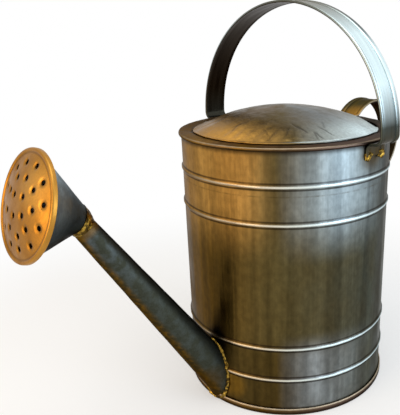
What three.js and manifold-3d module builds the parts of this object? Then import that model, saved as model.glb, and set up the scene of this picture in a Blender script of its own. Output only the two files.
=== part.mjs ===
// A tarnished sheet-metal watering can: swaged body, half hood, arched carrying handle,
// back handle, tapered spout and a perforated brass rose. Millimetres, +Z up.
// Everything is drawn about the upright axis of the body, with the spout along -X,
// the back handle along +X and the carrying handle across Y.
import * as THREE from 'three';
import { mergeVertices } from 'three/addons/utils/BufferGeometryUtils.js';
import Module from 'manifold-3d';

const wasm = await Module();
wasm.setup();

// Sheet and clearance
const SHEET = 1.0;
const SEAT_GAP = 0.3;
const AROUND = 48;
// How far the cutting shapes run past what they cut
const CUT_REACH = 200;
const CUT_MARGIN = 10;

// Body wall: a nearly straight cylinder with four swaged beads
const WALL_BOTTOM_RADIUS = 98.8;
const WALL_TOP_RADIUS = 100;
const WALL_BOTTOM = 1.3;
const WALL_TOP = 252.1;
const BEAD_HEIGHTS = [36.5, 68.5, 186.5, 220];
const BEAD_PROUD = 1.7;
const BEAD_HALF_WIDTH = 3.2;
const BEAD_STEPS = 4;
const SEAM_WIDTH = 7;
const SEAM_PROUD = 0.7;
const SEAM_END_GAP = 4;

// Base pan, hung inside the wall, with its edge rolled round the bottom of the wall
const PAN_FLOOR = 5;
const PAN_ROLL_HEIGHT = 6.4;
const PAN_ROLL_RADIUS = 100.6;
const PAN_ROLL_ROUND = 0.6;

// Top plate, hood and filling mouth
const PLATE_TOP = 253.4;
const PLATE_RADIUS = 102.4;
const PLATE_INNER_RADIUS = 80;
const PLATE_ROLL_DROP = 3.4;
const PLATE_ROLL_ROUND = 1.7;
const MOUTH_RADIUS = 89;
const MOUTH_START = 57;
const HOOD_RADIUS = 86.2;
const HOOD_BRIM = 2.3;
const HOOD_RISE = 19.4;
const HOOD_STEPS = 7;

// Both handles are bent from the same strap, with a narrow hem along one edge and a wide one along the other
const STRAP_WIDTH = 26;
const STRAP_SHEET = 1.4;
const NARROW_HEM = 3;
const WIDE_HEM = 6;
const HEM_PROUD = 0.8;
const HEM_ROUND = 0.6;

// Carrying handle
const ARCH_SET_BACK = 7.4;
const ARCH_HALF_SPAN = 115.5;
const ARCH_SPRING = 257.5;
const ARCH_APEX = 368;
const ARCH_STEPS = 34;
const ARCH_FOOT_BOTTOM = 239.5;
const ARCH_FOOT_TOP = 244.5;
const JOG_STEPS = 4;

// Back handle
const LOOP_CENTRE_REACH = 129.5;
const LOOP_CENTRE_HEIGHT = 224;
const LOOP_RADIUS = 43;
const LOOP_START_ANGLE = 135;
const LOOP_END_ANGLE = -40;
const LOOP_STEPS = 16;
const LOOP_TAB_START = 90.5;
const LOOP_TAB_LENGTH = 6;
const LOOP_BEND = 4;
const LOOP_FOOT_TOP = 121;
const LOOP_FOOT_BOTTOM = 107;

// Spout: a tapered tube whose axis leaves the wall at this height and angle
const SPOUT_AXIS_REACH = 98;
const SPOUT_AXIS_HEIGHT = 31;
const SPOUT_ANGLE = 55.8;
const SPOUT_BASE_RADIUS = 17.2;
const SPOUT_TAPER = 0.0372;
const SPOUT_LENGTH = 211;
const SPOUT_SIDES = 28;
const SPOUT_INSIDE = 30;
const SPOUT_SEARCH = 60;
const SEARCH_STEPS = 30;

// Rose: a leaning cone closed by a domed brass face
const NECK_REACH = 220.6;
const NECK_HEIGHT = 213.2;
const NECK_TILT = 29.6;
const NECK_RADIUS = 11.2;
const FACE_REACH = 257;
const FACE_HEIGHT = 231.5;
const FACE_TILT = 17.5;
const FACE_RIM_RADIUS = 41;
const FACE_DOME_RADIUS = 36.8;
const FACE_DOME_RISE = 6;
const FACE_SHEET = 0.9;
const FACE_STEPS = 6;
const RIM_CREASE_WIDTH = 0.8;
const RIM_CREASE_HEIGHT = 0.4;
const RIM_ROLL_HEIGHT = 0.9;
const RIM_ROUND = 1.2;
const RIM_SKIRT = 3;
const CONE_MOUTH_RADIUS = 39.4;
const CONE_SET_BACK = 0.9;
const ROSE_SIDES = 36;
const ROSE_HOLE_RADIUS = 2;
const ROSE_HOLE_SIDES = 8;
const ROSE_RINGS = [
  { radius: 9.5, holes: 4, firstAngle: 55 },
  { radius: 20.5, holes: 9, firstAngle: 20 },
  { radius: 31, holes: 12, firstAngle: 11 },
];

// Brazing
const FILLET_RADIUS = 3;
const FILLET_STEPS = 44;
const FILLET_SIDES = 6;
const COLLAR_PROUD = 0.9;
const COLLAR_LIP = 0.4;
const LUMP_SIZE = [5, 2.6, 4];
const LUMP_SIDES = [10, 6];
const LUMP_INSET = 4;
const LUMP_RISE = 0.5;
const LUMP_SEAT = 1.2;

// Finishes
const darkZinc = { color: 0x6f6a58, roughness: 0.38, metalness: 0.9 };
const warmZinc = { color: 0x83765a, roughness: 0.34, metalness: 0.9 };
const strapZinc = { color: 0x4e4e49, roughness: 0.36, metalness: 0.9 };
const spoutZinc = { color: 0x4b4f49, roughness: 0.45, metalness: 0.85 };
const roseBrass = { color: 0xb98632, roughness: 0.36, metalness: 0.95 };
const brazeBrass = { color: 0xc8a23c, roughness: 0.42, metalness: 0.9 };

const can = new THREE.Group();
const radians = THREE.MathUtils.degToRad;

// Turn a closed geometry into a solid with its faces outward.
function solid(geometry) {
  const bare = geometry.clone();
  bare.deleteAttribute('normal');
  bare.deleteAttribute('uv');
  const merged = mergeVertices(bare, 1e-4);
  const position = merged.getAttribute('position');
  const corners = [0, 1, 2].map(() => new THREE.Vector3());
  const faces = [];
  let volume = 0;
  for (let i = 0; i < merged.index.count; i += 3) {
    const face = [0, 1, 2].map((k) => merged.index.getX(i + k));
    if (new Set(face).size < 3) continue;
    face.forEach((vertex, k) => corners[k].fromBufferAttribute(position, vertex));
    volume += corners[0].dot(corners[1].clone().cross(corners[2]));
    faces.push(face);
  }
  const outward = volume > 0 ? faces : faces.map((face) => face.reverse());
  return new wasm.Manifold(new wasm.Mesh({
    numProp: 3,
    vertProperties: new Float32Array(position.array),
    triVerts: new Uint32Array(outward.flat()),
  }));
}

// Add a solid to the can as a named mesh.
function addPiece(name, shape, finish) {
  const { vertProperties, triVerts } = shape.getMesh();
  const geometry = new THREE.BufferGeometry();
  geometry.setAttribute('position', new THREE.BufferAttribute(new Float32Array(vertProperties), 3));
  geometry.setIndex(new THREE.BufferAttribute(new Uint32Array(triVerts), 1));
  geometry.computeVertexNormals();
  const piece = new THREE.Mesh(geometry, new THREE.MeshStandardMaterial(finish));
  piece.name = name;
  can.add(piece);
  return piece;
}

// Spin an outline of [radius, height] points about the upright axis.
function revolve(outline, segments = AROUND) {
  const points = outline.map(([radius, height]) => new THREE.Vector2(radius, height));
  const closes = points[0].x > 0;
  const turned = new THREE.LatheGeometry(closes ? [...points, points[0]] : points, segments);
  return solid(turned.rotateX(Math.PI / 2));
}

// Skin a run of equal rings, either joined end to start or capped by the section outline.
function loft(rings, capOutline = null) {
  const size = rings[0].length;
  const spans = capOutline ? rings.length - 1 : rings.length;
  const index = [];
  for (let i = 0; i < spans; i += 1) {
    const here = i * size;
    const next = ((i + 1) % rings.length) * size;
    for (let k = 0; k < size; k += 1) {
      const after = (k + 1) % size;
      index.push(here + k, here + after, next + after);
      index.push(here + k, next + after, next + k);
    }
  }
  if (capOutline) {
    const last = (rings.length - 1) * size;
    THREE.ShapeUtils.triangulateShape(capOutline, []).forEach(([a, b, c]) => {
      index.push(a, c, b);
      index.push(last + a, last + b, last + c);
    });
  }
  const geometry = new THREE.BufferGeometry();
  const positions = rings.flat().flatMap((point) => point.toArray());
  geometry.setAttribute('position', new THREE.Float32BufferAttribute(positions, 3));
  geometry.setIndex(index);
  return solid(geometry);
}

// A ring of points in the plane of the spout, facing the rose at a tilt above level.
function hoop(reach, height, tilt, radius, sides) {
  const up = new THREE.Vector3(Math.sin(radians(tilt)), 0, Math.cos(radians(tilt)));
  return Array.from({ length: sides }, (_, k) => {
    const angle = (2 * Math.PI * k) / sides;
    const point = new THREE.Vector3(-reach, radius * Math.cos(angle), height);
    return point.addScaledVector(up, radius * Math.sin(angle));
  });
}

function box(low, high) {
  const size = high.map((value, axis) => value - low[axis]);
  const geometry = new THREE.BoxGeometry(...size);
  return solid(geometry.translate(...low.map((value, axis) => value + size[axis] / 2)));
}

// A round slab about the body's axis
function disc(radius, bottom, top) {
  return revolve([[0, bottom], [radius, bottom], [radius, top], [0, top]]);
}

// The main body of a trimmed shape, without the slivers that a cut leaves
function mainBody(shape) {
  return shape.decompose().reduce((best, body) => (body.volume() > best.volume() ? body : best));
}

// Outside radius of the wall, beads included
function wallRadius(height) {
  const taper = (WALL_TOP_RADIUS - WALL_BOTTOM_RADIUS) / (WALL_TOP - WALL_BOTTOM);
  const plain = WALL_BOTTOM_RADIUS + taper * (height - WALL_BOTTOM);
  const swell = BEAD_HEIGHTS.map((bead) => {
    const away = Math.abs(height - bead) / BEAD_HALF_WIDTH;
    return away < 1 ? (BEAD_PROUD * (1 + Math.cos(Math.PI * away))) / 2 : 0;
  });
  return plain + Math.max(...swell);
}

// One side of the wall's outline, from the bottom up
function wallSide(offset) {
  const swages = BEAD_HEIGHTS.flatMap((bead) => Array.from({ length: BEAD_STEPS + 1 }, (_, step) => (
    bead + BEAD_HALF_WIDTH * ((2 * step) / BEAD_STEPS - 1)
  )));
  return [WALL_BOTTOM, ...swages, WALL_TOP].map((height) => [wallRadius(height) + offset, height]);
}

// All that the body fills, grown by a gap, to trim the pieces that meet it
function bodyEnvelope(gap) {
  const wall = revolve([[0, WALL_BOTTOM], ...wallSide(gap), [0, WALL_TOP]]);
  const roll = PAN_ROLL_RADIUS + gap;
  const rim = PLATE_RADIUS + gap;
  const base = disc(roll, -CUT_MARGIN, PAN_ROLL_HEIGHT + gap);
  const plate = disc(rim, PLATE_TOP - PLATE_ROLL_DROP - gap, PLATE_TOP + gap);
  return wall.add(base).add(plate);
}

function spoutRadius(along) {
  return SPOUT_BASE_RADIUS - SPOUT_TAPER * along;
}

// A ring square to the spout's axis
function spoutHoop(along, radius) {
  const reach = SPOUT_AXIS_REACH + along * Math.cos(radians(SPOUT_ANGLE));
  const height = SPOUT_AXIS_HEIGHT + along * Math.sin(radians(SPOUT_ANGLE));
  return hoop(reach, height, SPOUT_ANGLE, radius, SPOUT_SIDES);
}

// A solid cone that follows the spout at an offset from its outside
function spoutCore(from, to, offset) {
  const ends = [from, to].map((along) => spoutHoop(along, spoutRadius(along) + offset));
  const outline = ends[0].map((point) => new THREE.Vector2(point.y, point.z));
  return loft(ends, outline);
}

// The wall is one rolled sheet, lapped at a seam under the back handle
function bodyWall() {
  const shell = revolve([...wallSide(0), ...wallSide(-SHEET).reverse()]);
  const overlap = revolve([...wallSide(SEAM_PROUD), ...wallSide(-SHEET / 2).reverse()]);
  const seamZone = box(
    [0, -SEAM_WIDTH / 2, PAN_ROLL_HEIGHT + SHEET],
    [CUT_REACH, SEAM_WIDTH / 2, LOOP_FOOT_BOTTOM - SEAM_END_GAP],
  );
  const upperZone = box(
    [0, -SEAM_WIDTH / 2, LOOP_FOOT_TOP + SEAM_END_GAP],
    [CUT_REACH, SEAM_WIDTH / 2, PLATE_TOP - PLATE_ROLL_DROP - SHEET],
  );
  const seam = overlap.intersect(seamZone.add(upperZone));
  return shell.add(seam).subtract(spoutCore(-SPOUT_INSIDE, SPOUT_SEARCH, -SHEET));
}

// The pan's sheet drops inside the wall, turns under its edge and rolls up outside it
function basePan() {
  const inside = WALL_BOTTOM_RADIUS - SHEET - SEAT_GAP;
  const outside = wallRadius(PAN_ROLL_HEIGHT) + SEAT_GAP;
  return revolve([
    [0, PAN_FLOOR + SHEET],
    [inside, PAN_FLOOR + SHEET],
    [inside, SHEET],
    [outside, SHEET],
    [outside, PAN_ROLL_HEIGHT - PAN_ROLL_ROUND],
    [outside + PAN_ROLL_ROUND, PAN_ROLL_HEIGHT],
    [PAN_ROLL_RADIUS, PAN_ROLL_HEIGHT - 2 * PAN_ROLL_ROUND],
    [PAN_ROLL_RADIUS, PAN_ROLL_ROUND],
    [PAN_ROLL_RADIUS - PAN_ROLL_ROUND, 0],
    [inside - SHEET, 0],
    [inside - SHEET, PAN_FLOOR],
    [0, PAN_FLOOR],
  ]);
}

// All that is behind the front edge of the filling mouth
function behindMouth(bottom, top) {
  return box([MOUTH_START, -CUT_REACH, bottom], [CUT_REACH, CUT_REACH, top]);
}

// The plate's edge is rolled down over the top of the wall, and the mouth is cut behind the hood
function topPlate() {
  const under = PLATE_TOP - SHEET;
  const rollBottom = PLATE_TOP - PLATE_ROLL_DROP;
  const hem = PLATE_RADIUS - SHEET - SEAT_GAP;
  const rolledEdge = [0, 45, 90, 135, 165].map(radians);
  const plate = revolve([
    [PLATE_INNER_RADIUS, under],
    [PLATE_INNER_RADIUS, PLATE_TOP],
    ...rolledEdge.map((turn) => [
      PLATE_RADIUS - PLATE_ROLL_ROUND * (1 - Math.sin(turn)),
      PLATE_TOP - PLATE_ROLL_ROUND * (1 - Math.cos(turn)),
    ]),
    [hem, rollBottom + SHEET / 2],
    [hem, under],
  ]);
  const bore = disc(MOUTH_RADIUS, under - CUT_MARGIN, PLATE_TOP + CUT_MARGIN);
  return plate.subtract(bore.intersect(behindMouth(under - CUT_MARGIN, PLATE_TOP + CUT_MARGIN)));
}

// Outline of a shallow dome from its edge to its crown
function domeArc(edgeRadius, edgeHeight, rise, steps) {
  const sphere = (edgeRadius ** 2 + rise ** 2) / (2 * rise);
  const sweep = Math.asin(edgeRadius / sphere);
  return Array.from({ length: steps + 1 }, (_, step) => {
    const angle = sweep * (1 - step / steps);
    return [sphere * Math.sin(angle), edgeHeight + rise - sphere * (1 - Math.cos(angle))];
  });
}

// The hood is a raised dome with a narrow turned-out brim, cut straight across at the mouth
function hood() {
  const seat = PLATE_TOP + SEAT_GAP;
  const dome = revolve([
    [HOOD_RADIUS - SHEET, seat],
    [HOOD_RADIUS + HOOD_BRIM, seat],
    [HOOD_RADIUS + HOOD_BRIM, seat + SHEET],
    ...domeArc(HOOD_RADIUS, seat + SHEET, HOOD_RISE, HOOD_STEPS),
    ...domeArc(HOOD_RADIUS - SHEET, seat, HOOD_RISE, HOOD_STEPS).reverse().slice(0, -1),
  ]);
  return dome.subtract(behindMouth(seat - CUT_MARGIN, ARCH_APEX));
}

// Section of the strap, [across, outward], with a folded hem standing proud at each edge
function strapSection() {
  const edge = STRAP_WIDTH / 2;
  const face = STRAP_SHEET / 2;
  const crest = face + HEM_PROUD;
  const hemmedEdge = (hem) => [
    [edge, -face],
    [edge, crest - HEM_ROUND],
    [edge - HEM_ROUND, crest],
    [edge - hem + HEM_ROUND, crest],
    [edge - hem, face],
  ];
  const narrow = hemmedEdge(NARROW_HEM).map(([across, outward]) => [-across, outward]).reverse();
  return [...hemmedEdge(WIDE_HEM), ...narrow].map(([across, outward]) => new THREE.Vector2(across, outward));
}

// Bend the strap along an outline of [reach, height] points; place puts it in space
function strap(outline, place) {
  const section = strapSection();
  const rings = outline.map((point, i) => {
    const before = outline[Math.max(i - 1, 0)];
    const after = outline[Math.min(i + 1, outline.length - 1)];
    const along = after.clone().sub(before).normalize();
    const outward = new THREE.Vector2(-along.y, along.x);
    return section.map((corner) => {
      const bent = point.clone().addScaledVector(outward, corner.y);
      return place(bent, corner.x);
    });
  });
  return loft(rings, section);
}

// Half the carrying handle: up the foot, out under the rim, then over to the apex
function archSide() {
  const foot = WALL_TOP_RADIUS + SEAT_GAP + STRAP_SHEET / 2;
  const shift = ARCH_HALF_SPAN - foot;
  const rise = ARCH_SPRING - ARCH_FOOT_TOP;
  const radius = (shift ** 2 + rise ** 2) / (4 * shift);
  const turn = Math.asin(rise / (2 * radius));
  const path = new THREE.Path();
  path.moveTo(foot, ARCH_FOOT_BOTTOM);
  path.lineTo(foot, ARCH_FOOT_TOP);
  path.absarc(foot + radius, ARCH_FOOT_TOP, radius, Math.PI, Math.PI - turn, true);
  path.absarc(ARCH_HALF_SPAN - radius, ARCH_SPRING, radius, -turn, 0, false);
  const points = path.getPoints(JOG_STEPS);
  const quarter = ARCH_STEPS / 2;
  for (let step = 1; step <= quarter; step += 1) {
    const angle = (Math.PI / 2) * (step / quarter);
    const height = ARCH_SPRING + (ARCH_APEX - ARCH_SPRING) * Math.sin(angle);
    points.push(new THREE.Vector2(ARCH_HALF_SPAN * Math.cos(angle), height));
  }
  return points;
}

function mainHandle() {
  const near = archSide();
  const far = near.slice(0, -1).reverse().map((point) => new THREE.Vector2(-point.x, point.y));
  const outline = [...near, ...far].reverse();
  return strap(outline, (point, across) => new THREE.Vector3(ARCH_SET_BACK + across, point.x, point.y));
}

// The back handle starts as a tab on the plate, loops over and comes back to a foot on the wall
function backHandle() {
  const half = STRAP_SHEET / 2 + SEAT_GAP;
  const tabHeight = PLATE_TOP + half;
  const footReach = wallRadius(LOOP_FOOT_TOP) + half;
  const end = radians(LOOP_END_ANGLE);
  const leave = new THREE.Vector2(
    LOOP_CENTRE_REACH + LOOP_RADIUS * Math.cos(end),
    LOOP_CENTRE_HEIGHT + LOOP_RADIUS * Math.sin(end),
  );
  const slope = Math.tan(Math.PI / 2 + end);
  const bendReach = footReach + LOOP_BEND;
  const bendHeight = leave.y - (leave.x - bendReach) * slope;
  const tab = new THREE.Path();
  tab.moveTo(LOOP_TAB_START, tabHeight);
  tab.lineTo(LOOP_TAB_START + LOOP_TAB_LENGTH, tabHeight);
  const loop = new THREE.Path();
  loop.absarc(
    LOOP_CENTRE_REACH,
    LOOP_CENTRE_HEIGHT,
    LOOP_RADIUS,
    radians(LOOP_START_ANGLE),
    end,
    true,
  );
  const limb = new THREE.Path();
  limb.moveTo(bendReach, bendHeight);
  limb.quadraticCurveTo(footReach, bendHeight - LOOP_BEND * slope, footReach, LOOP_FOOT_TOP - LOOP_BEND);
  limb.lineTo(footReach, LOOP_FOOT_BOTTOM);
  const outline = [...tab.getPoints(1), ...loop.getPoints(LOOP_STEPS), ...limb.getPoints(JOG_STEPS)];
  return strap(outline, (point, across) => new THREE.Vector3(point.x, across, point.y));
}

// The spout is a tapered tube, trimmed to sit against the wall
function spout() {
  const startRadius = spoutRadius(-SPOUT_INSIDE);
  const endRadius = spoutRadius(SPOUT_LENGTH);
  const tube = loft([
    spoutHoop(-SPOUT_INSIDE, startRadius),
    spoutHoop(SPOUT_LENGTH, endRadius),
    spoutHoop(SPOUT_LENGTH, endRadius - SHEET),
    spoutHoop(-SPOUT_INSIDE, startRadius - SHEET),
  ]);
  return tube.subtract(bodyEnvelope(SEAT_GAP));
}

// How far along the spout its side, at this angle round it, comes out of the wall
function leavesWall(angle) {
  const tilt = radians(SPOUT_ANGLE);
  let inner = -SPOUT_SEARCH;
  let outer = SPOUT_SEARCH;
  for (let i = 0; i < SEARCH_STEPS; i += 1) {
    const along = (inner + outer) / 2;
    const radius = spoutRadius(along);
    const lift = radius * Math.sin(angle);
    const reach = SPOUT_AXIS_REACH + along * Math.cos(tilt) - lift * Math.sin(tilt);
    const height = SPOUT_AXIS_HEIGHT + along * Math.sin(tilt) + lift * Math.cos(tilt);
    const outside = Math.hypot(reach, radius * Math.cos(angle)) > wallRadius(height);
    if (outside) outer = along;
    else inner = along;
  }
  return outer;
}

// A round bead of brass laid along the joint, then trimmed to a fillet between wall and spout
function spoutBraze() {
  const tilt = radians(SPOUT_ANGLE);
  const axis = new THREE.Vector3(-Math.cos(tilt), 0, Math.sin(tilt));
  const up = new THREE.Vector3(Math.sin(tilt), 0, Math.cos(tilt));
  const side = new THREE.Vector3(0, 1, 0);
  const start = new THREE.Vector3(-SPOUT_AXIS_REACH, 0, SPOUT_AXIS_HEIGHT);
  const rings = Array.from({ length: FILLET_STEPS }, (_, k) => {
    const angle = (2 * Math.PI * k) / FILLET_STEPS;
    const outward = side.clone().multiplyScalar(Math.cos(angle)).addScaledVector(up, Math.sin(angle));
    const along = leavesWall(angle);
    const centre = start.clone().addScaledVector(axis, along).addScaledVector(outward, spoutRadius(along));
    return Array.from({ length: FILLET_SIDES }, (_unused, corner) => {
      const turn = (2 * Math.PI * corner) / FILLET_SIDES;
      return centre.clone()
        .addScaledVector(outward, FILLET_RADIUS * Math.cos(turn))
        .addScaledVector(axis, FILLET_RADIUS * Math.sin(turn));
    });
  });
  return mainBody(loft(rings)
    .subtract(spoutCore(-SPOUT_SEARCH, SPOUT_SEARCH, SEAT_GAP))
    .subtract(bodyEnvelope(SEAT_GAP))
    .subtract(disc(CUT_REACH, -CUT_REACH, SEAT_GAP)));
}

// Brass collar that fills the wedge between the end of the spout and the neck of the rose
function neckCollar() {
  const spoutEnd = SPOUT_LENGTH + SEAT_GAP;
  const tilt = radians(NECK_TILT);
  const backReach = NECK_REACH - SEAT_GAP * Math.cos(tilt);
  const backHeight = NECK_HEIGHT - SEAT_GAP * Math.sin(tilt);
  const endReach = SPOUT_AXIS_REACH + spoutEnd * Math.cos(radians(SPOUT_ANGLE));
  const endHeight = SPOUT_AXIS_HEIGHT + spoutEnd * Math.sin(radians(SPOUT_ANGLE));
  const middleTilt = (SPOUT_ANGLE + NECK_TILT) / 2;
  const middle = [(backReach + endReach) / 2, (backHeight + endHeight) / 2, middleTilt];
  const neck = [backReach, backHeight, NECK_TILT];
  const endRadius = spoutRadius(SPOUT_LENGTH);
  const middleRadius = (NECK_RADIUS + endRadius) / 2;
  return loft([
    spoutHoop(spoutEnd, endRadius + COLLAR_LIP),
    hoop(...middle, middleRadius + COLLAR_PROUD, SPOUT_SIDES),
    hoop(...neck, NECK_RADIUS + COLLAR_LIP, SPOUT_SIDES),
    hoop(...neck, NECK_RADIUS - SHEET, SPOUT_SIDES),
    hoop(...middle, middleRadius - SHEET, SPOUT_SIDES),
    spoutHoop(spoutEnd, endRadius - SHEET),
  ]);
}

// The cone of the rose leans, because its face is steeper than its neck
function roseCone() {
  const tilt = radians(FACE_TILT);
  const mouth = [FACE_REACH - CONE_SET_BACK * Math.cos(tilt), FACE_HEIGHT - CONE_SET_BACK * Math.sin(tilt), FACE_TILT];
  const neck = [NECK_REACH, NECK_HEIGHT, NECK_TILT];
  return loft([
    hoop(...neck, NECK_RADIUS, ROSE_SIDES),
    hoop(...mouth, CONE_MOUTH_RADIUS, ROSE_SIDES),
    hoop(...mouth, CONE_MOUTH_RADIUS - SHEET, ROSE_SIDES),
    hoop(...neck, NECK_RADIUS - SHEET, ROSE_SIDES),
  ]);
}

// Domed brass face with its rim rolled back over the cone, punched in three rings
function roseFace() {
  const rim = FACE_RIM_RADIUS;
  const inside = FACE_DOME_RADIUS - FACE_SHEET;
  const under = RIM_ROLL_HEIGHT - FACE_SHEET - SEAT_GAP;
  const dome = revolve([
    ...domeArc(FACE_DOME_RADIUS, RIM_CREASE_HEIGHT, FACE_DOME_RISE, FACE_STEPS).reverse(),
    [FACE_DOME_RADIUS + RIM_CREASE_WIDTH, RIM_CREASE_HEIGHT],
    [FACE_DOME_RADIUS + 2 * RIM_CREASE_WIDTH, RIM_ROLL_HEIGHT],
    [rim - RIM_ROUND, RIM_ROLL_HEIGHT],
    [rim - RIM_ROUND / 4, RIM_ROLL_HEIGHT - RIM_ROUND / 2],
    [rim, RIM_ROLL_HEIGHT - RIM_ROUND],
    [rim, -RIM_SKIRT],
    [rim - FACE_SHEET, -RIM_SKIRT],
    [rim - FACE_SHEET, under],
    [FACE_DOME_RADIUS, under],
    ...domeArc(inside, under, FACE_DOME_RISE, FACE_STEPS),
  ], ROSE_SIDES);
  const punches = ROSE_RINGS.flatMap(({ radius, holes, firstAngle }) => (
    Array.from({ length: holes }, (_, k) => {
      const angle = radians(firstAngle) + (2 * Math.PI * k) / holes;
      const punch = new THREE.CylinderGeometry(ROSE_HOLE_RADIUS, ROSE_HOLE_RADIUS, FACE_RIM_RADIUS, ROSE_HOLE_SIDES);
      punch.rotateX(Math.PI / 2);
      return solid(punch.translate(-radius * Math.sin(angle), radius * Math.cos(angle), 0));
    })
  ));
  return dome.subtract(wasm.Manifold.union(punches));
}

// A lump of braze on the wall at one lower corner of a strap foot
function brazeLump(centre, facing, strapBox) {
  const lump = new THREE.SphereGeometry(1, ...LUMP_SIDES);
  lump.scale(...LUMP_SIZE);
  lump.rotateZ(facing);
  lump.translate(...centre);
  return mainBody(solid(lump).subtract(bodyEnvelope(SEAT_GAP)).subtract(strapBox));
}

// Lumps at both lower corners of a foot that stands on the wall; turn carries the foot round the body from +Y
function addBraze(names, bottom, offset, turn) {
  const half = STRAP_WIDTH / 2;
  const back = wallRadius(bottom);
  const front = back + SEAT_GAP + STRAP_SHEET + HEM_PROUD;
  const strapBox = box(
    [offset - half - SEAT_GAP, back, bottom - SEAT_GAP],
    [offset + half + SEAT_GAP, front + SEAT_GAP, bottom + CUT_MARGIN],
  ).rotate([0, 0, turn]);
  names.forEach((name, i) => {
    const across = offset + (i === 0 ? -1 : 1) * (half - LUMP_INSET);
    const centre = new THREE.Vector3(across, back + LUMP_SEAT, bottom + LUMP_RISE);
    centre.applyAxisAngle(new THREE.Vector3(0, 0, 1), radians(turn));
    addPiece(name, brazeLump(centre.toArray(), radians(turn), strapBox), brazeBrass);
  });
}

addPiece('body_wall', bodyWall(), warmZinc);
addPiece('base_pan', basePan(), darkZinc);
addPiece('top_plate', topPlate(), darkZinc);
addPiece('hood', hood(), warmZinc);
addPiece('main_handle', mainHandle(), strapZinc);
addPiece('back_handle', backHandle(), strapZinc);
addPiece('spout', spout(), spoutZinc);
addPiece('spout_braze', spoutBraze(), brazeBrass);
addPiece('neck_collar', neckCollar(), brazeBrass);
addPiece('rose_cone', roseCone(), spoutZinc);
const face = addPiece('rose_face', roseFace(), roseBrass);
face.position.set(-FACE_REACH, 0, FACE_HEIGHT);
face.rotation.y = radians(FACE_TILT - 90);
addBraze(['handle_braze_left_front', 'handle_braze_left_rear'], ARCH_FOOT_BOTTOM, ARCH_SET_BACK, 0);
addBraze(['handle_braze_right_rear', 'handle_braze_right_front'], ARCH_FOOT_BOTTOM, -ARCH_SET_BACK, 180);
addBraze(['back_handle_braze_left', 'back_handle_braze_right'], LOOP_FOOT_BOTTOM, 0, -90);

// The origin is on the ground, in the middle of the can's length.
const bounds = new THREE.Box3().setFromObject(can);
can.position.x = -(bounds.min.x + bounds.max.x) / 2;

export default can;
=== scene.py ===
import math
import random

import bmesh
import bpy
from mathutils import Matrix, Vector, noise


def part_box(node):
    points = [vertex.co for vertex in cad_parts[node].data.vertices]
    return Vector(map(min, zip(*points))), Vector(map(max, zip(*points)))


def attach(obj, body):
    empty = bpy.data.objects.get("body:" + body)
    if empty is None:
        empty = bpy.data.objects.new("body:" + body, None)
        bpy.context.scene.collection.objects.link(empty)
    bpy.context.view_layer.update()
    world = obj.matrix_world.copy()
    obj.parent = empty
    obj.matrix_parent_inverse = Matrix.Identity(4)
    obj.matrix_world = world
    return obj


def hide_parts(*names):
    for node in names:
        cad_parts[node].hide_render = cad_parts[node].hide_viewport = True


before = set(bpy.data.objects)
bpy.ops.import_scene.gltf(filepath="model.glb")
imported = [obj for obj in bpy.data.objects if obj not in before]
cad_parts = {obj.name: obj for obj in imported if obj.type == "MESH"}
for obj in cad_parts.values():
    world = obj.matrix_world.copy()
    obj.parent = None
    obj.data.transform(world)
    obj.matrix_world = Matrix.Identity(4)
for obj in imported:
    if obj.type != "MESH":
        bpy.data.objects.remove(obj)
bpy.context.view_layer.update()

bl_info = {
    "name": "Tarnished Watering Can",
    "version": (1, 0, 0),
    "blender": (4, 5, 0),
    "location": "View3D > Sidebar > Watering Can",
    "description": "Dresses the packed watering can and sets its studio",
    "category": "Object",
}

MM = 0.001

# The upright axis of the body, in millimetres along X: the base pan is round about it
AXIS_X = sum(corner.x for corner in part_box("base_pan")) / 2 / MM

# Sizes that the source gives, in millimetres about the body's axis
SHEET = 1.0
SEAT_GAP = 0.3
WALL_BOTTOM_RADIUS = 98.8
WALL_TOP_RADIUS = 100.0
WALL_BOTTOM = 1.3
WALL_TOP = 252.1
BEAD_HEIGHTS = (36.5, 68.5, 186.5, 220.0)
PAN_FLOOR = 5.0
PAN_ROLL_HEIGHT = 6.4
PAN_ROLL_RADIUS = 100.6
PLATE_TOP = 253.4
PLATE_RADIUS = 102.4
PLATE_ROLL_ROUND = 1.7
PLATE_INNER_RADIUS = 80.0
MOUTH_RADIUS = 89.0
MOUTH_START = 57.0
HOOD_RADIUS = 86.2
HOOD_BRIM = 2.3
HOOD_RISE = 19.4
STRAP_WIDTH = 26.0
STRAP_SHEET = 1.4
ARCH_SET_BACK = 7.4
ARCH_HALF_SPAN = 115.5
ARCH_SPRING = 257.5
ARCH_APEX = 368.0
ARCH_FOOT_BOTTOM = 239.5
ARCH_FOOT_TOP = 244.5
LOOP_CENTRE = (129.5, 224.0)
LOOP_RADIUS = 43.0
LOOP_ANGLES = (134.0, -40.0)
LOOP_TAB_START = 90.5
LOOP_FOOT_TOP = 121.0
LOOP_FOOT_BOTTOM = 107.0
BRAZE_INSET = 4.0
BRAZE_SEAT = 1.0
SPOUT_AXIS_REACH = 98.0
SPOUT_AXIS_HEIGHT = 31.0
SPOUT_ANGLE = math.radians(55.8)
SPOUT_BASE_RADIUS = 17.2
SPOUT_TAPER = 0.0372
SPOUT_LENGTH = 211.0
NECK_REACH = 220.6
NECK_HEIGHT = 213.2
NECK_TILT = math.radians(29.6)
NECK_RADIUS = 11.2
FACE_REACH = 257.0
FACE_HEIGHT = 231.5
FACE_TILT = math.radians(17.5)
FACE_RIM_RADIUS = 41.0
FACE_DOME_RADIUS = 36.8
FACE_DOME_RISE = 6.0
FACE_SHEET = 0.9
CONE_MOUTH_RADIUS = 39.4
CONE_SET_BACK = 0.9
ROSE_HOLE_RADIUS = 2.0

# How far under the top bead the swaging tool left a faint line
TOOL_MARK_BELOW = 8.4

# Rings of holes as the frame has them: radius, how many, and the first one's angle
ROSE_RINGS = ((9.5, 4, 55.0), (20.5, 9, 20.0), (31.0, 12, 11.0))
HOLE_STRAY = 0.9
HOLE_SEED = 4

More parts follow.
